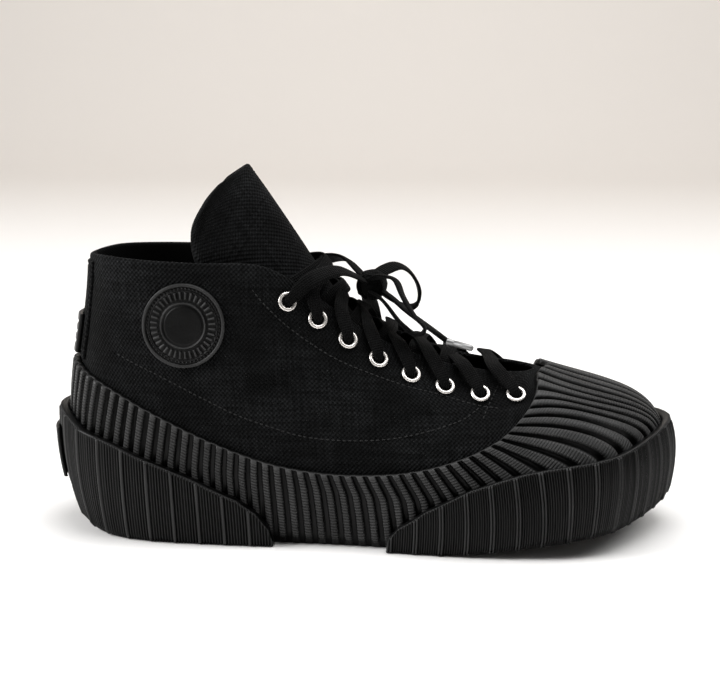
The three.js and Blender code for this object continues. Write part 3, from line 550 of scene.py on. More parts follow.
@dataclass
class Last:
    """Outer face of the upper over u (round the shoe) and v (up the side), in millimetres."""

    columns: tuple[str, ...] = (
        "footX", "footLat", "footMed", "rise", "flare",
        "rimX", "rimLat", "rimMed", "rimZ", "drop", "spread", "reach", "guardZ",
    )
    sections: tuple[tuple[float, ...], ...] = (
        (-133, 0, 0, 48, 22.5, -135, 0, 0, 134.5, 42, 1, 0, 84),
        (-125, -21, 21, 46, 19, -125, -17.5, 17.5, 135.8, 42, 2, 0, 79),
        (-104, -31.5, 31, 44, 13, -105, -27, 27, 135.4, 42, 3, 0, 67.5),
        (-72, -35, 33.5, 42, 10, -78, -30.5, 30.5, 134.8, 45, 6, 0, 53),
        (-38, -36.5, 31.5, 40, 9, -48, -30.5, 30.5, 134.2, 50, 7, 0.05, 41),
        (0, -39, 32, 42, 8, -27, -22.5, 22.5, 122.5, 28, 9, 0.2, 36.8),
        (40, -44, 38, 42, 7, 9, -18.5, 19, 98, 18, 10, 0.28, 41),
        (80, -46, 45, 42, 7, 45, -15.5, 17.5, 84.8, 18, 8, 0.32, 54),
        (117, -37, 41, 50, 10, 76, -9.5, 13.5, 80.8, 17, 4, 0.66, 76.2),
        (144, 12, 12, 54, 12, 85, 2.5, 2.5, 80.8, 16.5, 0, 0.72, 79.2),
    )
    core_top: Pairs = ((-150, 33), (-60, 31), (20, 21), (70, 20), (110, 24), (150, 32))
    toe_spring: tuple[float, float, float, float] = (17, 42, 108, 1.2)
    heel_bevel: tuple[float, float, float] = (5, -112, 24)
    sole_clear: float = 0.4

    def __post_init__(self) -> None:
        """Lays the sections out as a closed loop, and keeps the shared rows by u."""
        self.toe = len(self.sections) - 1
        self.loop = 2 * self.toe
        rows = np.array([self.sections[min(i, self.loop - i)] for i in range(self.loop)], float)
        self.values = dict(zip(self.columns, rows.T))
        outer = np.arange(self.loop) <= self.toe
        for end in ("foot", "rim"):
            self.values[end + "Y"] = np.where(outer, self.values[end + "Lat"], self.values[end + "Med"])
        self.us = np.linspace(0, self.loop, 1441)
        x = self.at("footX", self.us)
        self.rows = {
            "foot": self.share(self.us, self.bottom(x) + self.sole_clear),
            "core": self.share(self.us, table(self.core_top, x)),
            "guard": self.share(self.us, self.at("guardZ", self.us)),
        }

    def at(self, name: str, u: Array) -> Array:
        """A column of the section table at u."""
        i = np.floor(u).astype(int)
        a = self.values[name]
        return catmull(*(a[(i + d) % self.loop] for d in (-1, 0, 1, 2)), u - i)

    def row(self, name: str, u: Array) -> Array:
        """The share v of a shared row at u."""
        return np.interp(np.mod(u, self.loop), self.us, self.rows[name])

    def bottom(self, x: Array) -> Array:
        """Height of the sole's underside along the shoe."""
        lift, start, run, power = self.toe_spring
        rear, rear_start, rear_run = self.heel_bevel
        toe = np.maximum(0, (x - start) / run) ** power
        return lift * toe + rear * np.maximum(0, (rear_start - x) / rear_run) ** 2

    def point(self, u: Array, v: Array) -> Array:
        """A point of the outer face."""
        u, v = np.broadcast_arrays(np.asarray(u, float), np.asarray(v, float))
        d = 0.02
        slope = [self.at(c, u + d) - self.at(c, u - d) for c in ("footX", "footY")]
        out = unit(np.stack([slope[1], -slope[0], 0 * u], -1))
        wide = lambda name: self.at(name, u)[..., None]
        foot = np.stack([self.at("footX", u), self.at("footY", u), 0 * u], -1)
        foot[..., 2] = self.bottom(foot[..., 0])
        rim = np.stack([self.at("rimX", u), self.at("rimY", u), self.at("rimZ", u)], -1)
        low = foot + out * wide("flare")
        low[..., 2] += self.at("rise", u)
        high = rim + (foot - rim) * wide("reach") + out * wide("spread")
        high[..., 2] = rim[..., 2] - self.at("drop", u)
        w = v[..., None]
        return (1 - w) ** 3 * foot + 3 * (1 - w) ** 2 * w * low + 3 * (1 - w) * w**2 * high + w**3 * rim

    def normal(self, u: Array, v: Array) -> Array:
        """The outward direction."""
        d = 0.01
        across = self.point(u + d, v) - self.point(u - d, v)
        return unit(np.cross(across, self.point(u, np.minimum(1, v + d)) - self.point(u, np.maximum(0, v - d))))

    def skin(self, u: Array, v: Array, offset: Array) -> Array:
        """A point at an offset from the outer face."""
        u, v, offset = np.broadcast_arrays(np.asarray(u, float), np.asarray(v, float), np.asarray(offset, float))
        return self.point(u, v) + self.normal(u, v) * offset[..., None]

    def share(self, u: Array, z: Array) -> Array:
        """The v at which the side reaches a height.

        Args:
            u: places round the shoe.
            z: heights in millimetres.

        Returns:
            Shares up the side.
        """
        u, z = np.broadcast_arrays(np.asarray(u, float), np.asarray(z, float))
        low, high = np.zeros_like(u), np.ones_like(u)
        for _ in range(26):
            mid = (low + high) / 2
            below = self.point(u, mid)[..., 2] < z
            low, high = np.where(below, mid, low), np.where(below, high, mid)
        return (low + high) / 2

    def section_at(self, x: float, side: Side) -> float:
        """The u on one side whose wall starts at x.

        Args:
            x: place along the shoe.
            side: which side.

        Returns:
            The place round the shoe.
        """
        us = np.linspace(0, self.toe, 3601)
        u = float(np.interp(x, self.at("footX", us), us))
        return u if side is Side.OUTER else self.loop - u

    def place(self, x: Array, z: Array, side: Side) -> tuple[Array, Array]:
        """The u and v of a side at a given x and z.

        Args:
            x: places along the shoe.
            z: heights.
            side: which side.

        Returns:
            Places round the shoe and shares up the side.
        """
        x, z = np.asarray(x, float), np.asarray(z, float)
        low, high = np.zeros_like(x), np.full_like(x, self.toe)
        turn = (lambda u: u) if side is Side.OUTER else (lambda u: self.loop - u)
        for _ in range(26):
            mid = (low + high) / 2
            short = self.point(turn(mid), self.share(turn(mid), z))[..., 0] < x
            low, high = np.where(short, mid, low), np.where(short, high, mid)
        return turn(low), self.share(turn(low), z)

    def nearby(self, u: float, v: float, a: Array, b: Array) -> tuple[Array, Array]:
        """The u and v of points at given distances from a point of the side.

        Args:
            u, v: the point.
            a: distances across.
            b: distances up.

        Returns:
            Places round the shoe and shares up the side.
        """
        d = 0.02
        here = self.point(u, v)
        rate_u = (self.point(u + d, v) - here) / d
        rate_v = (self.point(u, v + d) - here) / d
        across = unit(rate_u)
        up = unit(np.cross(self.normal(u, v), across))
        m = np.array([[rate_u @ across, rate_v @ across], [rate_u @ up, rate_v @ up]])
        inverse = np.linalg.inv(m)
        du, dv = np.zeros_like(a), np.zeros_like(a)
        for _ in range(6):
            miss = self.point(u + du, v + dv) - here
            ea, eb = a - miss @ across, b - miss @ up
            du = du + inverse[0, 0] * ea + inverse[0, 1] * eb
            dv = dv + inverse[1, 0] * ea + inverse[1, 1] * eb
        return u + du, v + dv


LAST = Last()
# Top edges of the outer strips, by the x of the wall's foot
HEEL_STRIP_TOP = (
    (-133, 60), (-125, 53.5), (-104, 44), (-78, 34), (-57, 24.5), (-48, 18), (-42.5, 11), (-40.5, 5),
)
TOE_STRIP_TOP = ((15, 5), (17, 9), (22, 14), (36, 22.5), (59, 32.6), (92, 41.5), (120, 46.5), (144, 51.5))


# Camera, light and stage

@dataclass
class Studio:
    """Camera at the photograph's angle, pale stage and soft light."""

    azimuth: float = 4.0
    elevation: float = 13.0
    distance: float = 870.0
    lens: float = 87.85
    target: tuple[float, float, float] = (-1.9, 0.0, 89.6)

    def camera(self) -> None:
        """Makes the camera."""
        a, e = math.radians(self.azimuth), math.radians(self.elevation)
        back = Vector((math.sin(a) * math.cos(e), -math.cos(a) * math.cos(e), math.sin(e)))
        bpy.ops.object.camera_add(location=(Vector(self.target) + back * self.distance) * MM)
        camera = bpy.context.object
        camera.rotation_mode = "QUATERNION"
        camera.rotation_quaternion = (-back).to_track_quat("-Z", "Y")
        camera.data.sensor_width = 36
        camera.data.lens = self.lens
        bpy.context.scene.camera = camera

    def lamp(self, name: str, place: Sequence[float], aim: Sequence[float], size: float, power: float) -> None:
        """One soft square lamp.

        Args:
            name: the lamp's name.
            place: where it hangs, in metres.
            aim: the point it shines at.
            size: length of its side.
            power: its power in watts.
        """
        bpy.ops.object.light_add(type="AREA", location=place)
        lamp = bpy.context.object
        lamp.name = name
        lamp.data.size = size
        lamp.data.energy = power
        lamp.rotation_mode = "QUATERNION"
        lamp.rotation_quaternion = (Vector(aim) - Vector(place)).to_track_quat("-Z", "Y")

    def light(self) -> None:
        """Soft light from above, from the left and from behind the toe."""
        world = bpy.data.worlds.new("pale_room")
        bpy.context.scene.world = world
        world.use_nodes = True
        sky = world.node_tree.nodes["Background"]
        sky.inputs["Color"].default_value = (1.0, 0.985, 0.96, 1.0)
        sky.inputs["Strength"].default_value = 0.15
        middle = (0, 0, 0.08)
        self.lamp("lamp_above", (0.2, 0.0, 1.4), middle, 1.0, 17)
        self.lamp("lamp_left", (-1.2, -0.3, 0.7), middle, 0.7, 20)
        self.lamp("lamp_wall", (0.0, 1.0, 1.7), (0, 1.5, 0.1), 1.2, 5)
        self.lamp("lamp_toe", (0.9, 0.1, 0.9), middle, 0.6, 6)
        bpy.context.scene.view_settings.view_transform = "Standard"

    def stage(self, finish: bpy.types.Material) -> None:
        """A floor that turns up into a wall far behind."""
        turn = np.linspace(0, math.pi / 2, 12)
        profile = [(-4000, 0), (-400, 0), (500, 0)]
        profile += [(1300 + 500 * math.sin(t), 500 - 500 * math.cos(t)) for t in turn]
        profile += [(1800, 4000)]
        points = np.array([[(x, y, z) for y, z in profile] for x in (-4000, 0, 4000)], float)
        floor = lattice("pale_floor", points)
        floor.data.materials.append(finish)


# Sub-assemblies

@dataclass
class Upper:
    """Canvas upper: one hollow wall with a turned rim, its stitch lines and creases."""

    wall: float = 2.4
    around: int = 540
    stay_line: Pairs = (
        (-57, 134.2), (-51.6, 125), (-41, 112.7), (-30, 103), (-13, 92), (3, 85), (21, 78.5),
        (39, 73.7), (57.6, 68.8), (66.8, 67.5),
    )
    low_line: Pairs = (
        (-118, 91), (-111, 88), (-95, 81.5), (-79, 73.8), (-60, 65), (-41, 58.5), (-28, 54.7), (-13.5, 53),
        (9.4, 53.6), (24.6, 56), (40, 60), (51, 63.7), (59, 69),
    )
    lock_line: Pairs = ((66.5, 76.5), (62, 69), (59, 62.5))
    stitch_step: float = 2.7
    seam_depth: float = 0.4
    hole: float = 2.7
    slack: float = 0.35
    # Folds of the canvas: height, x, z, reach along x, reach along z, lean
    folds: tuple[tuple[float, ...], ...] = (
        (-1.7, -46, 77, 21, 5.5, -0.08), (0.8, -42, 87, 26, 6, -0.1), (-0.9, -18, 82, 17, 3.2, 0.35),
        (0.5, -12, 75, 18, 4, 0.3), (-0.8, -38, 121, 9, 3, 0.9), (-0.7, 22, 62, 20, 3, -0.25),
        (0.5, 28, 69, 16, 3.5, -0.3), (-0.6, -98, 96, 12, 3, 0.5), (-0.5, -70, 128, 18, 2.6, 0.1),
    )

    def lines(self) -> list[Array]:
        """Sewn lines of both sides as rows of x, z and side sign."""
        made = []
        for rows in (self.stay_line, self.low_line, self.lock_line):
            flat = curve(np.array([(x, 0, z) for x, z in rows], float), 60)[:, [0, 2]]
            made += [np.column_stack([flat, np.full(60, sign)]) for sign in (-1, 1)]
        return made

    def creases(self, points: Array) -> Array:
        """How far the canvas stands off its plain form.

        Args:
            points: places on the plain form.

        Returns:
            Offsets along the normals.
        """
        x, y, z = points[..., 0], points[..., 1], points[..., 2]
        lift = self.slack * np.sin(x / 13 + z / 21) * np.sin(z / 9 - x / 31) * np.sign(y + 1e-9)
        for height, at_x, at_z, reach_x, reach_z, lean in self.folds:
            aside = (z - at_z + lean * (x - at_x)) / reach_z
            lift += height * np.exp(-((x - at_x) / reach_x) ** 2 - aside**2)
        for line in self.lines():
            near = np.full(x.shape, 1e9)
            for line_x, line_z, _ in line:
                near = np.minimum(near, (x - line_x) ** 2 + (z - line_z) ** 2)
            same = np.sign(y) == line[0, 2]
            lift -= np.where(same, self.seam_depth * np.exp(-near / 1.6), 0)
        return lift

    def build(self, finishes: Finishes, seats: Array) -> None:
        """Makes the wall, cuts the eyelet holes and sews the lines.

        Args:
            finishes: materials.
            seats: u and v of every eyelet.
        """
        u = np.linspace(0, LAST.loop, self.around + 1)[:, None]
        guard = LAST.row("guard", u)
        low = LAST.row("core", u) + 0.02
        up = [low + (guard - low) * t for t in np.linspace(0, 1, 9)[:-1]]
        up += [guard + (1 - guard) * t for t in np.linspace(0, 1, 50)]
        v = np.concatenate(up, 1)
        plain = LAST.point(u, v)
        lift = self.creases(plain) * smooth(v - guard, 0.0, 0.06) * (1 - smooth(v, 0.97, 1.0))
        hem = 0.45 * smooth(v, 1 - 0.075, 1 - 0.06) * smooth(np.abs(u - LAST.toe), 3.2, 4.2)
        outside = LAST.skin(u, v, lift + hem)
        inside = LAST.skin(u, v[:, ::-3], -self.wall + lift[:, ::-3])
        n = LAST.normal(u[:, 0], np.ones(len(u)))
        rise = unit(outside[:, -1] - outside[:, -2])
        middle = (outside[:, -1] + inside[:, 0]) / 2
        half = np.linalg.norm(outside[:, -1] - inside[:, 0], axis=1)[:, None] / 2
        turn = [middle + half * (n * math.cos(t) + rise * math.sin(t)) for t in np.linspace(0, math.pi, 8)[1:-1]]
        points = np.concatenate([outside, np.stack(turn, 1), inside, outside[:, :1]], 1)
        rows = outside.shape[1] + len(turn)
        walked = run_length(points, 1)
        mid = int(outside.shape[1] / 3)
        walked = walked - walked[:, mid:mid + 1] + plain[:, mid, 2:3]
        around = run_length(points, 0)
        for start, end, centre in ((0, self.around // 2, 4), (self.around // 2, self.around, 14)):
            k = int(centre / LAST.loop * self.around)
            around[start:end + 1] = around[start:end + 1] - around[k] + centre * 40
        piece = lattice("canvas_upper", points, np.stack([around, walked], -1), shell=False)
        piece.data.materials.append(finishes.canvas)
        piece.data.materials.append(finishes.lining)
        index = np.repeat(np.arange(points.shape[1] - 1) >= rows - 2, points.shape[0] - 1).astype(np.int32)
        piece.data.polygons.foreach_set("material_index", index)
        only(piece)
        bpy.ops.object.mode_set(mode="EDIT")
        bpy.ops.mesh.select_all(action="SELECT")
        bpy.ops.mesh.remove_doubles(threshold=2e-6)
        bpy.ops.mesh.normals_make_consistent(inside=False)
        bpy.ops.object.mode_set(mode="OBJECT")
        self.cut(piece, seats)
        settle(piece, Slot.CANVAS, finishes.canvas, "upper")
        self.sew(finishes)

    def cut(self, piece: bpy.types.Object, seats: Array) -> None:
        """Cuts one round hole for each eyelet.

        Args:
            piece: the wall.
            seats: u and v of every eyelet.
        """
        drills = []
        for u, v in seats:
            place, n = LAST.point(u, v), LAST.normal(u, v)
            bpy.ops.object.select_all(action="DESELECT")
            bpy.ops.mesh.primitive_cylinder_add(
                vertices=16, radius=self.hole * MM, depth=12 * MM, location=place * MM,
                rotation=Vector(n).to_track_quat("Z", "Y").to_euler(),
            )
            drills.append(bpy.context.object)
        for drill in drills:
            drill.select_set(True)
        bpy.ops.object.join()
        cutter = bpy.context.object
        modify(piece, "BOOLEAN", operation="DIFFERENCE", solver="EXACT", object=cutter)
        bpy.data.objects.remove(cutter)

    def sew(self, finishes: Finishes) -> None:
        """Lays a stitch every few millimetres along each line."""
        places, frames = [], []
        for line in self.lines():
            side = Side.OUTER if line[0, 2] < 0 else Side.INNER
            u, v = LAST.place(line[:, 0], np.minimum(line[:, 1], 133.5), side)
            spots = curve(np.column_stack([LAST.point(u, v), u, v]), 600)
            walked = run_length(spots[:, :3], 0)
            at = np.arange(1.0, walked[-1] - 1.0, self.stitch_step)
            pick = np.searchsorted(walked, at)
            spot = spots[pick]
            along = unit(spots[np.minimum(pick + 4, 599), :3] - spots[np.maximum(pick - 4, 0), :3])
            n = LAST.normal(spot[:, 3], spot[:, 4])
            plain = LAST.point(spot[:, 3], spot[:, 4])
            lift = self.creases(plain)
            places.append(plain + n * (lift + 0.12)[:, None])
            frames.append(np.stack([along, np.cross(n, along), n], 1))
        places, frames = np.concatenate(places), np.concatenate(frames)
        bpy.ops.object.select_all(action="DESELECT")
        bpy.ops.mesh.primitive_uv_sphere_add(segments=8, ring_count=5, radius=MM)
        stitch = bpy.context.object
        co = np.array([v.co for v in stitch.data.vertices]) * (1.0, 0.36, 0.32)
        stitch.data.vertices.foreach_set("co", co.ravel())
        piece = copies("upper_stitches", stitch, places, frames)
        settle(piece, Slot.COTTON, finishes.thread)


@dataclass
class Guard:
    """Ribbed rubber guard round the whole shoe."""

    count: int = 106
    samples: int = 12
    back: float = 0.9
    base: float = 0.4
    height: float = 2.7
    straight: float = 0.28
    lip_half: float = 0.5
    lip_height: float = 1.2
    tops: Pairs = (
        (0, 0), (4, 0.79), (8, 1.54), (12, 2.26), (16, 2.92), (20, 3.57), (24, 4.21), (28, 4.84), (32, 5.45),
        (37, 6.19), (42, 6.95), (45, 7.34), (48, 7.73), (50, 8.13), (53, 9),
    )
    feet: Pairs = (
        (0, 0), (4, 0.67), (8, 1.37), (12, 2.14), (16, 2.84), (20, 3.53), (24, 4.22), (30, 5.23), (34, 5.88),
        (37, 6.4), (40, 7.03), (42, 7.6), (44, 8.09), (46, 8.49), (48, 8.74), (50, 8.87), (53, 9),
    )

    def build(self, finishes: Finishes) -> None:
        """Makes the guard as one closed band."""
        r = np.linspace(0, self.count, self.count * self.samples + 1)[:, None]
        near = np.minimum(r, self.count - r)
        top, foot = (np.interp(near, *np.array(rows, float).T) for rows in (self.tops, self.feet))
        rows = np.concatenate([np.linspace(-0.25, 0, 5)[:-1], np.linspace(0, 0.92, 27), np.linspace(0.93, 1, 12)])
        bend = lambda a: a + np.sqrt(a * a + 0.004)
        lean = bend(rows - self.straight) / bend(1 - self.straight)
        u = foot + (top - foot) * lean
        u = np.where(r > self.count / 2, LAST.loop - u, u)
        ground, core, edge = (LAST.row(name, u) for name in ("foot", "core", "guard"))
        v = np.where(rows < 0, core + (core - ground) * rows / 0.25, core + (edge - core) * rows)
        walked = run_length(LAST.point(u, v), 1)
        below = walked[:, -1:] - walked
        away = np.abs(2 * np.mod(r + 0.5, 1) - 1)
        wide = 0.66 + 0.14 * smooth(near, 36, 46)
        rib = np.sqrt(1 - np.clip(away / wide, 0, 1) ** 4) * np.ones_like(v)
        rib = rib * np.sqrt(1 - (1 - np.clip(below / 1.6, 0, 1)) ** 2) * smooth(walked, -0.5, 1.5)
        lip = np.sqrt(np.clip(1 - ((below - self.lip_half) / self.lip_half) ** 2, 0, 1))
        rise = np.maximum(self.height * rib, self.lip_height * lip)
        rise = rise * (1 + 0.05 * np.sin(3.1 * r + 0.05 * below))
        outside = LAST.skin(u, v, self.back + self.base + rise)
        floor = LAST.bottom(LAST.at("footX", u[:, 0])) + LAST.sole_clear
        outside[:, 0, 2] = floor
        picked = [-1, -8, -20, 4, 0]
        inside = LAST.skin(u[:, picked], v[:, picked], self.back)
        inside[:, -1, 2] = floor
        points = np.concatenate([outside, inside, outside[:, :1]], 1)
        points[..., 2] = np.maximum(points[..., 2], LAST.sole_clear)
        behind = np.zeros((len(r), inside.shape[1] + 1))
        # The relief mark sets the painted highlight on the rib and lip tops; the notch mark sets the notch bumps and
        # their painted shade.
        relief = np.concatenate([np.maximum(rib, 0.8 * lip), behind], 1)
        deep = 1 - 0.65 * smooth(near, 40, 46) - 0.2 * (1 - smooth(near, 8, 24))
        notch = np.concatenate([deep * smooth(below, 1.5, 3), behind], 1)
        uv = np.stack([np.broadcast_to(r * 5, relief.shape), np.concatenate([below, behind], 1)], -1)
        piece = lattice("rib_band", points, uv, shell=True, marks={"relief": relief, "notch": notch})
        settle(piece, Slot.RUBBER, finishes.ribs, "rib_guard")


@dataclass
class Strip:
    """A thick outer rubber strip with fine upright lines and bold ridges."""

    name: str
    node: str
    top: Pairs
    ends: tuple[float, float]
    lean: float
    pairs: bool
    inner: float = 4.8
    body: float = 3.0
    pitch: float = 12.3
    fine: int = 7
    bold_height: float = 1.7
    fine_height: float = 1.05
    step: float = 0.27
    lip_half: float = 0.6
    tooth_pitch: float = 1.4

    def ridges(self, d: Array, pitch: float) -> Array:
        """Height of the lines at a distance along the strip.

        Args:
            d: distances along the strip.
            pitch: distance from one bold line to the next.

        Returns:
            Heights above the strip's face.
        """
        at = np.mod(d, pitch)
        bump = lambda c, w: np.sqrt(np.clip(1 - ((at - c) / w) ** 2, 0, 1))
        bold = [(0.8, 0.62), (2.2, 0.62)] if self.pairs else [(1.2, 1.0)]
        height = sum(self.bold_height * bump(c, w) for c, w in bold)
        start = bold[-1][0] + bold[-1][1] + 0.25
        step = (pitch - start) / self.fine
        for k in range(self.fine):
            height = height + self.fine_height * bump(start + step * (k + 0.5), 0.31 * step)
        return height

    def build(self, finishes: Finishes) -> None:
        """Makes the strip as a closed band with a serrated lip."""
        us = np.linspace(*self.ends, 1601)
        path = LAST.skin(us, 0.1, self.inner + self.body)
        walked = run_length(path, 0)
        total = walked[-1]
        pitch = total / round(total / self.pitch)
        d = np.linspace(0, total, int(total / self.step))[:, None]
        tops = LAST.share(us, table(self.top, LAST.at("footX", us)))
        middle = np.interp(d, walked, us)
        tall = table(self.top, LAST.at("footX", middle)) - LAST.bottom(LAST.at("footX", middle))
        shift = self.lean * tall * np.clip(LAST.toe - middle, -1, 1)
        rows = np.concatenate([np.linspace(0, 0.9, 9), np.linspace(0.92, 1, 8)])
        u = np.interp(np.clip(d + shift * rows, 0, total), walked, us)
        low, high = LAST.row("foot", u), np.interp(u, us, tops)
        v = low + (high - low) * rows
        below = run_length(LAST.point(u, v), 1)
        below = below[:, -1:] - below
        line = self.ridges(d, pitch) * np.ones_like(v)
        body = line * smooth(below, 0.5, 1.2)
        tooth = 0.75 + 0.25 * np.cos(2 * math.pi * d / self.tooth_pitch)
        lip = np.sqrt(np.clip(1 - ((below - self.lip_half) / self.lip_half) ** 2, 0, 1)) * tooth
        rise = np.maximum(body, 1.1 * lip)
        outside = LAST.skin(u, v, self.inner + self.body + rise)
        floor = LAST.bottom(LAST.at("footX", u[:, 0])) + LAST.sole_clear
        outside[:, 0, 2] = floor
        brow = LAST.skin(u[:, -1:], v[:, -1:], self.inner + self.body * np.array([0.8, 0.4]))
        picked = [-1, 5, 0]
        inside = LAST.skin(u[:, picked], v[:, picked], self.inner)
        inside[:, -1, 2] = floor
        loop = np.concatenate([outside, brow, inside, outside[:, :1]], 1)
        behind = np.zeros((len(d), loop.shape[1] - v.shape[1]))
        # The relief mark sets the painted highlight on the line crests and the lip, stronger on the bold ridges.
        crest = np.clip(body / self.fine_height, 0, 1) * (0.5 + 0.3 * body)
        relief = np.concatenate([np.maximum(crest, lip), behind], 1)
        relief = np.concatenate([relief[:1], relief, relief[-1:]])
        loop[..., 2] = np.maximum(loop[..., 2], LAST.sole_clear)
        piece = lattice(self.name, capped(loop), None, shell=True, marks={"relief": relief})
        settle(piece, Slot.RUBBER, finishes.strip, self.node)


@dataclass
class Patch:
    """A raised patch that follows the heel, with a rim and level bars."""

    name: str
    node: str
    half: float
    low: float | None
    high: float | None
    base: float
    thickness: float
    bars: int
    rubber: bool

    def build(self, finishes: Finishes) -> None:
        """Makes the patch with rounded edges."""
        u = np.linspace(-self.half, self.half, 81)[:, None]
        if self.low is None:
            v0 = LAST.share(u, LAST.at("guardZ", u) + 2.2)
            v1 = np.full_like(u, 0.985)
        else:
            v0, v1 = LAST.share(u, self.low), LAST.share(u, self.high)
        t = np.linspace(0, 1, 97)
        v = v0 + (v1 - v0) * t
        plain = LAST.point(u, v)
        across, along = run_length(plain, 0), run_length(plain, 1)
        edge = np.minimum(np.minimum(across, across[-1:] - across), np.minimum(along, along[:, -1:] - along))
        height = self.thickness * np.sqrt(1 - (1 - np.clip(edge / 0.7, 0, 1)) ** 2)
        field_area = smooth(edge, 1.9, 2.4)
        if self.bars:
            wave = np.cos(2 * math.pi * (t * self.bars)) * np.ones_like(v)
            height = height - field_area * 0.8 * smooth(wave, -0.35, 0.35)
        else:
            height = height - 0.4 * np.exp(-((edge - 2.2) / 0.5) ** 2)
        points = LAST.skin(u, v, self.base + height)
        # The relief mark sets the painted highlight on the raised rim and bars of the rubber patches.
        marks = {"relief": np.clip(height / self.thickness, 0, 1)}
        piece = lattice(self.name, points, np.stack([across, along], -1), marks=marks)
        modify(piece, "SOLIDIFY", thickness=0.5 * MM, offset=-1)
        if self.rubber:
            settle(piece, Slot.RUBBER, finishes.strip, self.node)
        else:
            settle(piece, Slot.CANVAS, finishes.canvas, self.node)


@dataclass
class Badge:
    """Round rubber patch on the ankle with a generic relief of rings and spokes."""

    radius: float = 20.5
    thickness: float = 1.8
    at: tuple[float, float] = (-84.0, 106.5)
    base: float = 0.45

    def build(self, finishes: Finishes) -> None:
        """Makes the disc from rings."""
        u, v = (float(a) for a in LAST.place(np.array(self.at[0]), np.array(self.at[1]), Side.OUTER))
        turn = np.linspace(0, 2 * math.pi, 289)[:, None]
        r = np.concatenate([[0, 1.5, 4, 7], np.linspace(8.6, self.radius, 46)])[None]
        ring = lambda a, b: smooth(r, a, a + 0.35) * (1 - smooth(r, b - 0.35, b))
        height = 0.75 + 0.35 * (1 - smooth(r, 9.0, 9.6)) + 0.75 * ring(10.2, 11.4) + 0 * turn
        spoke = smooth(np.cos(36 * turn), -0.1, 0.5)
        height = height + 0.8 * ring(12.4, 16.2) * spoke
        dots = smooth(np.cos(60 * turn), -0.2, 0.6)
        height = height + 0.5 * ring(17.2, 18.3) * dots + 0.95 * ring(16.4, 17.0) + 1.05 * ring(18.6, 20.6)
        height = height * np.sqrt(1 - np.clip((r - 19.7) / 0.8, 0, 1) ** 2)
        uu, vv = LAST.nearby(u, v, -r * np.cos(turn), r * np.sin(turn))
        points = LAST.skin(uu, vv, self.base + height)
        points[-1] = points[0]
        # The relief mark sets the painted highlight on the raised rings and spokes.
        relief = np.clip((height - 0.7) / 0.9, 0, 1)
        piece = lattice("ankle_patch", points[::-1], None, shell=True, marks={"relief": relief[::-1]})
        settle(piece, Slot.RUBBER, finishes.strip, "ankle_badge")


@dataclass
class Tongue:
    """Wide canvas tongue with a turned edge."""

    thickness: float = 3.0
    rows: tuple[tuple[float, ...], ...] = (
        (92, 74.5, 5, 85, 18, 50, 1), (60, 77.5, 7, 80, 23, 55, 1), (20, 87, 9, 68, 25, 60, 1),
        (-1, 102, 12, 56, 25, 66, 1), (-16.5, 122, 24, 46, 25, 76, 1), (-28.5, 140, 42, 38, 25, 84, 1),
        (-41, 158, 45, 35, 25.5, 86, 0.98), (-50.5, 171.5, 46, 35, 25.5, 86, 0.86),
        (-55, 178, 46, 35, 25.5, 86, 0.67), (-56.5, 180.5, 46, 35, 25.5, 86, 0.5),
    )

    def point(self, t: Array, s: Array, offset: Array) -> Array:
        """A point of the tongue.

        Args:
            t: place up the tongue, in rows.
            s: place across, from -1 on the outer side to 1.
            offset: height above its front.

        Returns:
            Places in millimetres.
        """
        a = np.array(self.rows, float)
        i = np.minimum(len(a) - 2, np.floor(t).astype(int))
        q = [a[np.clip(i + d, 0, len(a) - 1)] for d in (-1, 0, 1, 2)]
        x, z, wing, slope, half, turn, extent = np.moveaxis(catmull(*q, (t - i)[..., None]), -1, 0)
        turn, slope = np.radians(turn), np.radians(slope)
        angle = turn * s * extent
        y = (half + offset) * np.sin(angle) / np.sin(turn) + 2.5 * np.maximum(0, x / 85)
        along = wing * (1 - np.cos(angle)) / (1 - np.cos(turn)) - offset
        return np.stack([x - np.cos(slope) * along, y, z - np.sin(slope) * along], -1)

    def build(self, finishes: Finishes) -> None:
        """Makes the curled sheet, its thickness, its turned edge and the edge stitches."""
        ease = np.sin(np.linspace(-math.pi / 2, math.pi / 2, 111))
        across_at = 0.6 * ease + 0.4 * np.linspace(-1, 1, 111)
        up_at = np.concatenate([np.linspace(0, 8.6, 140), np.linspace(8.62, 9, 14)])
        t, s = np.meshgrid(up_at, across_at)
        plain = self.point(t, s, 0 * t)
        across, along = run_length(plain, 0), run_length(plain, 1)
        edge = np.minimum(np.minimum(across, across[-1:] - across), along[:, -1:] - along)
        edge = np.minimum(edge, along)
        hem = 0.3 * (1 - smooth(edge, 5.2, 6.0)) - 0.3 * np.exp(-((edge - 4.6) / 0.5) ** 2)
        wave = 0.4 * np.sin(along / 17 + 2 * s) * np.sin(across / 11)
        half = self.thickness / 2
        round_edge = half * np.sqrt(1 - (1 - np.clip(edge / half, 0, 1)) ** 2)
        relief = (hem + wave) * smooth(edge, 0, 1.5)
        front = self.point(t, s, -half + round_edge + relief)
        back = self.point(t, s, -half - round_edge + relief)
        points = np.concatenate([front, back[::-1]])
        uv = np.stack([across - across[55:56], along], -1)
        piece = lattice("canvas_tongue", points, np.concatenate([uv, uv[::-1]]), shell=True)
        settle(piece, Slot.CANVAS, finishes.canvas, "tongue")


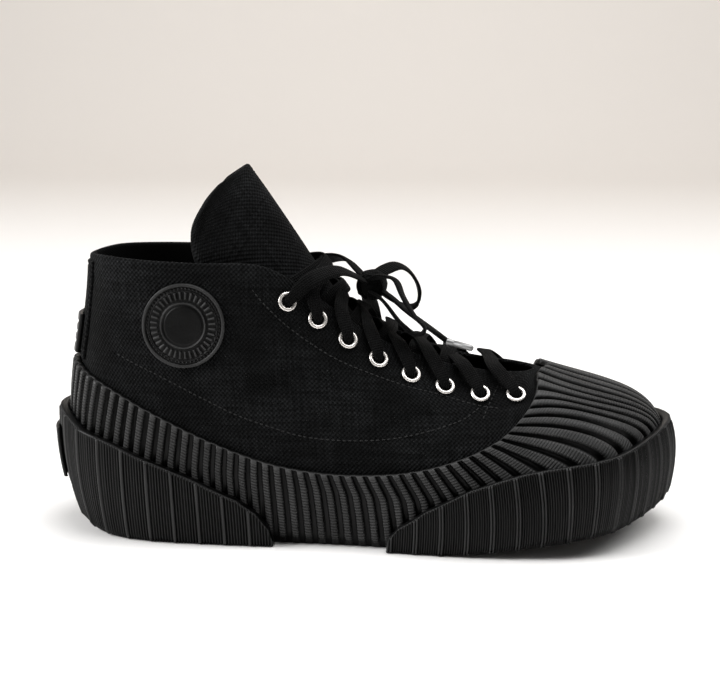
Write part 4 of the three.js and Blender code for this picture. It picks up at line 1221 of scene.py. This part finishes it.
@dataclass
class Footbed:
    """Crowned footbed inside the shoe."""

    inset: float = 3.7
    thickness: float = 4.0

    def build(self, finishes: Finishes) -> None:
        """Makes the slab, cupped at its edges."""
        u = np.linspace(0, LAST.toe, 121)[:, None]
        sides = [LAST.skin(w, LAST.row("core", w), -self.inset) for w in (u, LAST.loop - u)]
        base = LAST.point(u, LAST.row("core", u))[..., 2] + 0.6
        s = np.linspace(0, 1, 41)
        flat = sides[0] + (sides[1] - sides[0]) * s[None, :, None]
        rim = np.abs(2 * s - 1)[None]
        top = flat.copy()
        shrink = 0.35 * smooth(rim, 0.93, 1.0)
        top[..., 2] = base + self.thickness * (1 - shrink) - 1.0 * (1 - rim**4) * np.ones_like(base)
        under = flat[:, ::-1].copy()
        under[..., 2] = base
        points = np.concatenate([top, under, top[:, :1]], 1)
        uv = points[..., :2].copy()
        piece = lattice("footbed", points[:, ::-1], uv[:, ::-1], shell=True)
        settle(piece, Slot.LINING, finishes.footbed, "insole")


@dataclass
class Lacing:
    """Eyelets, flat lace through them, knot, bow and metal tips."""

    pitch: float = 17.5
    count: int = 8
    inset: tuple[float, float, float] = (21.5, 11.0, 4.4)
    first: float = 47.0
    width: float = 8.0
    thick: float = 1.8
    over: float = 3.0
    knot_at: tuple[float, float, float] = (4.0, 0.0, 121.0)
    bow: dict[str, tuple[tuple[float, ...], ...]] = field(default_factory=lambda: {
        "lace_strand_outer": (
            (-23, -27, 128.5, 0.3, -0.7, 0.7), (-11, -17, 131, 0.3, -0.4, 0.9), (-1, -5, 125, 0.3, -0.2, 0.95),
            (4, -1, 122, 0.3, -0.1, 0.9),
        ),
        "lace_strand_inner": (
            (-23, 27, 128.5, 0.3, 0.7, 0.7), (-11, 17, 131, 0.3, 0.4, 0.9), (-1, 5, 125, 0.3, 0.2, 0.95),
            (4, 1, 122, 0.3, 0.1, 0.9),
        ),
        "lace_loop_outer": (
            (3, -2, 123, 0.2, 0, 0.9), (6, -5, 125, 0.2, 0, 0.9), (10, -9, 127, 0.4, 0, 0.9),
            (16, -13, 126, 0.8, -0.2, 0.5), (20, -18, 119, 1, -0.2, 0.3), (26, -22, 110, 1, 0, 0.6),
            (31, -24, 104.5, 0.7, 0, 0.1), (27, -22, 101, -0.5, 0, -1), (19, -18, 106, -0.8, 0, -0.6),
            (11, -12, 114.5, -0.9, 0, -0.5), (6, -6, 117.5, -0.6, 0, -0.8), (3, -2, 119, -0.5, 0, -0.8),
        ),
        "lace_loop_inner": (
            (3, 2, 123, 0.2, 0, 0.9), (6, 5, 125, 0.2, 0, 0.9), (10, 9, 127, 0.4, 0, 0.9),
            (16, 15, 128, 0.6, 0.2, 0.8), (22, 23, 123, 0.9, 0.3, 0.5), (26, 31, 113, 1, 0.2, 0.2),
            (25, 34, 105, 0.4, 0, -0.8), (19, 30, 104, -0.6, 0, -0.8), (13, 21, 110, -0.8, -0.2, -0.6),
            (9, 12, 115, -0.8, 0, -0.6), (6, 6, 117.5, -0.6, 0, -0.8), (3, 2, 119, -0.5, 0, -0.8),
        ),
        "lace_end_outer": (
            (1, 1, 121, 0.6, 0, 0.8), (7, -1, 119, 0.6, 0, 0.8), (13, -3, 116, 0.6, 0, 0.8),
            (21, -7, 110, 0.6, 0, 0.8), (31, -13, 104, 0.5, 0, 0.9), (42, -20, 97.5, 0.4, 0, 0.9),
        ),
        "lace_end_inner": (
            (3, 0, 119, 0.2, 0.2, 0.9), (1, 4, 117, 0.2, 0.2, 0.9), (0, 11, 114, 0.2, 0.4, 0.8),
            (1, 20, 111, 0.2, 0.5, 0.8), (2, 32, 103, 0.1, 0.8, 0.6), (6, 40, 91, 0.1, 0.95, 0.3),
        ),
    })
    tips: dict[str, tuple[tuple[float, ...], tuple[float, ...]]] = field(default_factory=lambda: {
        "outer": ((41.5, -19.9, 97.6), (54, -25, 95.5)),
        "inner": ((6.0, 39.6, 91.2), (9, 43, 79)),
    })

    def seats(self, side: Side) -> Array:
        """The u and v of a side's eyelets, from the lowest up."""
        sign = -1 if side is Side.OUTER else 1
        us = LAST.toe + sign * np.arange(0, 500) * 0.01
        low, high, reach = self.inset
        want = low + (high - low) * np.abs(us - LAST.toe) / reach
        vs = 1 - np.arange(0, 400) * 0.002
        gap = np.linalg.norm(LAST.point(us[:, None], vs) - LAST.point(us, np.ones_like(us))[:, None], axis=2)
        v = vs[np.argmax(gap >= want[:, None], axis=1)]
        walked = run_length(LAST.point(us, v), 0) - self.first
        pick = [int(np.argmax(walked >= k * self.pitch)) for k in range(self.count)]
        return np.column_stack([us[pick], v[pick]])

    def ribbon(self, name: str, path: Array, samples: int) -> tuple[bpy.types.Object, Array]:
        """A flat woven lace along a path.

        Args:
            name: the piece's name.
            path: rows of place, facing direction, width and thickness.
            samples: number of sections.

        Returns:
            The piece and its centreline.
        """
        rows = curve(path, samples)
        place, face, width, thick = rows[:, :3], rows[:, 3:6], rows[:, 6:7, None], rows[:, 7:8, None]
        tangent = unit(np.gradient(place, axis=0))
        across = unit(np.cross(face, tangent))
        flat = unit(np.cross(tangent, across))
        turn = np.linspace(0, 2 * math.pi, 19)
        bend = lambda c, power: np.sign(c) * np.abs(c) ** power
        a = bend(np.cos(turn), 0.55)[None, :, None] * width / 2
        b = -bend(np.sin(turn), 0.75)[None, :, None] * thick / 2 * (1 - 0.12 * np.cos(turn)[None, :, None] ** 2)
        rings = place[:, None] + across[:, None] * a + flat[:, None] * b
        rings[:, -1] = rings[:, 0]
        walked = run_length(place, 0)[:, None] + 0 * turn
        uv = np.stack([walked, run_length(rings, 1)], -1)
        return lattice(name, capped(rings), capped(uv), shell=True), place

    def through(self, seat: Array, towards: Array) -> list[tuple[float, ...]]:
        """The lace from under an eyelet up through its hole and over its ring.

        Args:
            seat: u and v of the eyelet.
            towards: the next point of the lace.

        Returns:
            Path rows.
        """
        here, n = LAST.point(*seat), LAST.normal(*seat)
        way = towards - here
        way = unit(way - n * (way @ n))
        steps = ((-5.5, -3.5, 4.6, 2.4), (-1.2, -1.0, 4.2, 2.8), (1.6, 0.6, 4.4, 2.6), (3.0, 3.6, 6.2, 2.0))
        return [(*(here + n * up + way * out), *unit(n - way * (0.9 if k < 3 else 0.2)), w, t)
                for k, (up, out, w, t) in enumerate(steps)]

    def crossing(self, k: int, rows: dict[Side, Array], tongue: Tongue) -> bpy.types.Object:
        """The two strands that cross between one pair of eyelets and the next.

        Args:
            k: number of the pair, from the lowest up.
            rows: u and v of the eyelets of each side.
            tongue: the tongue that they pass over.

        Returns:
            The joined strands.
        """
        near, far = {}, {}
        for side, seats in rows.items():
            near[side] = seats[k, 0] + 0.08 * (seats[k + 1, 0] - seats[k, 0])
            far[side] = seats[k, 0] + 0.6 * (seats[k + 1, 0] - seats[k, 0])
        rim = lambda u, offset: LAST.skin(u, 1.0, offset)
        middle = sum(rim(u, 0) for u in [*near.values(), *far.values()]) / 4
        ts = np.linspace(0, len(tongue.rows) - 1, 181)
        line = tongue.point(ts, 0 * ts, 0 * ts)
        i = int(np.argmin(np.hypot(line[:, 0] - middle[0], line[:, 2] - middle[2])))
        step = line[min(i + 2, 180)] - line[max(i - 2, 0)]
        face = unit(np.array([step[2], 0, -step[0]]))
        rise = max(3.0, float((line[i] - middle) @ face) + 4.4)
        strands = []
        for order, side in enumerate(rows):
            other = Side.INNER if side is Side.OUTER else Side.OUTER
            lift = rise + (1.0 if order == k % 2 else -0.9)
            top = middle + face * lift
            edge = rim(near[side], self.over)
            path = self.through(rows[side][k], edge)
            flat = (self.width * 0.92, self.thick)
            path.append((*edge, *LAST.normal(near[side], 0.99), *flat))
            path.append((*top, *face, *flat))
            end = rim(far[other], 0)
            path.append((*(end + unit(top - end) * 7 + face * 0.4), *face, *flat))
            path.append((*(rim(far[other], -4.4) + unit(end - top) * 2), *face, *flat))
            strands.append(self.ribbon(f"strand_{side.value}_{k}", np.array(path), 80)[0])
        bpy.ops.object.select_all(action="DESELECT")
        for strand in strands:
            strand.select_set(True)
        bpy.ops.object.join()
        bpy.context.object.name = f"flat_lace_{k}"
        return bpy.context.object

    def bar(self, rows: dict[Side, Array]) -> bpy.types.Object:
        """The straight run between the lowest eyelets.

        Args:
            rows: u and v of the eyelets of each side.

        Returns:
            The ribbon.
        """
        edges = {side: LAST.skin(seats[0, 0], 1.0, self.over) for side, seats in rows.items()}
        flat = (self.width * 0.92, self.thick)
        outer, inner = ([*self.through(seats[0], edges[side]), (*edges[side], *LAST.normal(seats[0, 0], 0.99), *flat)]
                        for side, seats in rows.items())
        middle = sum(edges.values()) / 2 + np.array([0, 0, 0.9])
        path = outer + [(*middle, *unit(np.array([0.2, 0, 1.0])), *flat)] + inner[::-1]
        return self.ribbon("flat_lace_bar", np.array(path), 110)[0]

    def knot(self, finishes: Finishes) -> None:
        """Two turns of lace drawn tight round a core."""
        centre = np.array(self.knot_at)
        turns = []
        for k, (tilt, size, wide) in enumerate(((0.25, (6.2, 6.0), 8.6), (1.35, (5.6, 6.6), 7.4))):
            t = np.linspace(0, 2 * math.pi, 13)
            axis = np.array([math.sin(tilt), math.cos(tilt), 0.15])
            side = unit(np.cross(axis, [0, 0, 1]))
            up = unit(np.cross(side, axis))
            ring = size[0] * np.cos(t)[:, None] * side + size[1] * np.sin(t)[:, None] * up
            path = np.column_stack([centre + ring, unit(ring), np.full((13, 1), wide), np.full((13, 1), 2.2)])
            turns.append(self.ribbon(f"knot_turn_{k}", path, 60)[0])
        bpy.ops.object.select_all(action="DESELECT")
        bpy.ops.mesh.primitive_uv_sphere_add(segments=32, ring_count=20, radius=0.5, location=(0, 0, 0))
        core = bpy.context.object
        co = np.array([v.co for v in core.data.vertices])
        co = co * (11.5, 14, 11.5) * (1 + 0.08 * np.sin(7 * co[:, 2:] + 9 * co[:, 1:2])) + centre
        core.data.vertices.foreach_set("co", (co * MM).ravel())
        bpy.ops.object.shade_smooth()
        for turn in turns:
            turn.select_set(True)
        bpy.ops.object.join()
        core.name = "lace_knot_turns"
        settle(core, Slot.COTTON, finishes.cotton, "lace_knot")

    def tip(self, side: str) -> bpy.types.Object:
        """A metal tip: a tube with a rolled mouth and a pressed end.

        Args:
            side: the side of the lace end that it is on.

        Returns:
            The tip.
        """
        a, b = (np.array(p, float) for p in self.tips[side])
        length = np.linalg.norm(b - a)
        profile = [(0, 1.2), (0.1, 1.75), (0.6, 1.85), (1.0, 1.6), (3.4, 1.55), (3.6, 1.4), (4.0, 1.4), (4.2, 1.55),
                   (length - 1.2, 1.5), (length - 0.4, 1.3), (length, 0.8)]
        turn = np.linspace(0, 2 * math.pi, 25)
        along = unit(b - a)
        side_way = unit(np.cross(along, [0, 0, 1.0]))
        up = np.cross(side_way, along)
        rings = np.array([[a + along * d + r * (math.cos(t) * side_way - math.sin(t) * up) for t in turn]
                          for d, r in profile])
        rings[:, -1] = rings[:, 0]
        return lattice(f"lace_tip_{side}", capped(rings), None, shell=True)

    def build_bow(self, finishes: Finishes, rows: dict[Side, Array]) -> None:
        """Strands from the top eyelets, knot, loops and ends.

        Args:
            finishes: materials.
            rows: u and v of the eyelets of each side.
        """
        self.knot(finishes)
        for name, points in self.bow.items():
            side = Side.OUTER if name.endswith("outer") else Side.INNER
            path = [(*row, self.width, self.thick) for row in points]
            if "strand" in name:
                path = self.through(rows[side][-1], np.array(points[0][:3], float)) + path
            elif "end" in name:
                path[-1] = (*points[-1], 3.0, 2.6)
            piece, line = self.ribbon(name.replace("lace", "bow"), np.array(path), 120)
            settle(piece, Slot.COTTON, finishes.cotton, name)
            if "end" in name:
                tip = settle(self.tip(side.value), Slot.NICKEL, finishes.tip, f"aglet_{side.value}")

    def eyelets(self, finishes: Finishes, rows: dict[Side, Array]) -> None:
        """Rolled rings: one profile is spun at every seat.

        Args:
            finishes: materials.
            rows: u and v of the eyelets of each side.
        """
        t = np.linspace(0, 2 * math.pi, 11)
        profile = np.column_stack([3.85 + 0.9 * np.cos(t), 0.62 * np.sin(t) + 1.0])
        profile[:, 1] = np.maximum(profile[:, 1], 0.55)
        turn = np.linspace(0, 2 * math.pi, 33)
        rings = np.array([[(r * math.cos(a), r * math.sin(a), z) for r, z in profile] for a in turn])
        rings[-1] = rings[0]
        for side, seats in rows.items():
            for k, (u, v) in enumerate(seats):
                n, place = LAST.normal(u, v), LAST.point(u, v)
                right = unit(np.cross([0.0, 0.0, 1.0], n))
                axes = np.stack([right, np.cross(n, right), n])
                piece = lattice(f"ring_{side.value}_{k + 1}", rings @ axes + place, None, shell=True)
                settle(piece, Slot.NICKEL, finishes.nickel, f"eyelet_{side.value}_{k + 1}")

    def build(self, finishes: Finishes, rows: dict[Side, Array], tongue: Tongue) -> None:
        """Threads the lace."""
        settle(self.bar(rows), Slot.COTTON, finishes.cotton, "lace_bar")
        for k in range(1, self.count - 1):
            settle(self.crossing(k, rows, tongue), Slot.COTTON, finishes.cotton, f"lace_cross_{k}")


def dress_sole(finishes: Finishes) -> None:
    """The sole keeps its solid and gets the rubber finish."""
    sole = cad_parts["outsole"]
    sole.data.materials.clear()
    sole.data.materials.append(finishes.plain)


def main() -> None:
    """Builds the studio and the shoe in order."""
    logging.basicConfig(level=logging.INFO, format="%(message)s")
    finishes = Finishes()
    studio = Studio()
    studio.camera()
    lacing, tongue = Lacing(), Tongue()
    rows = {side: lacing.seats(side) for side in Side}
    lacing.build_bow(finishes, rows)
    studio.light()
    studio.stage(finishes.stage)
    Upper().build(finishes, np.concatenate(list(rows.values())))
    tongue.build(finishes)
    lacing.build(finishes, rows, tongue)
    lacing.eyelets(finishes, rows)
    Guard().build(finishes)
    heel_from, toe_from = HEEL_STRIP_TOP[-1][0], TOE_STRIP_TOP[0][0]
    heel_ends = (LAST.section_at(heel_from, Side.INNER) - LAST.loop, LAST.section_at(heel_from, Side.OUTER))
    toe_ends = (LAST.section_at(toe_from, Side.OUTER), LAST.section_at(toe_from, Side.INNER))
    Strip("heel_strip_band", "heel_wrap", HEEL_STRIP_TOP, heel_ends, 0.0, False).build(finishes)
    Strip("toe_strip_band", "toe_wrap", TOE_STRIP_TOP, toe_ends, 0.14, True, fine=8).build(finishes)
    Patch("back_strap", "heel_strip", 0.6, None, None, 0.35, 1.2, 0, False).build(finishes)
    Patch("back_tab", "heel_label", 0.42, 86.5, 106, 1.9, 2.2, 4, True).build(finishes)
    Patch("back_plate", "heel_plate", 0.42, 26, 50, 9.6, 1.7, 5, True).build(finishes)
    Badge().build(finishes)
    Footbed().build(finishes)
    dress_sole(finishes)


if __name__ == "__main__":
    main()
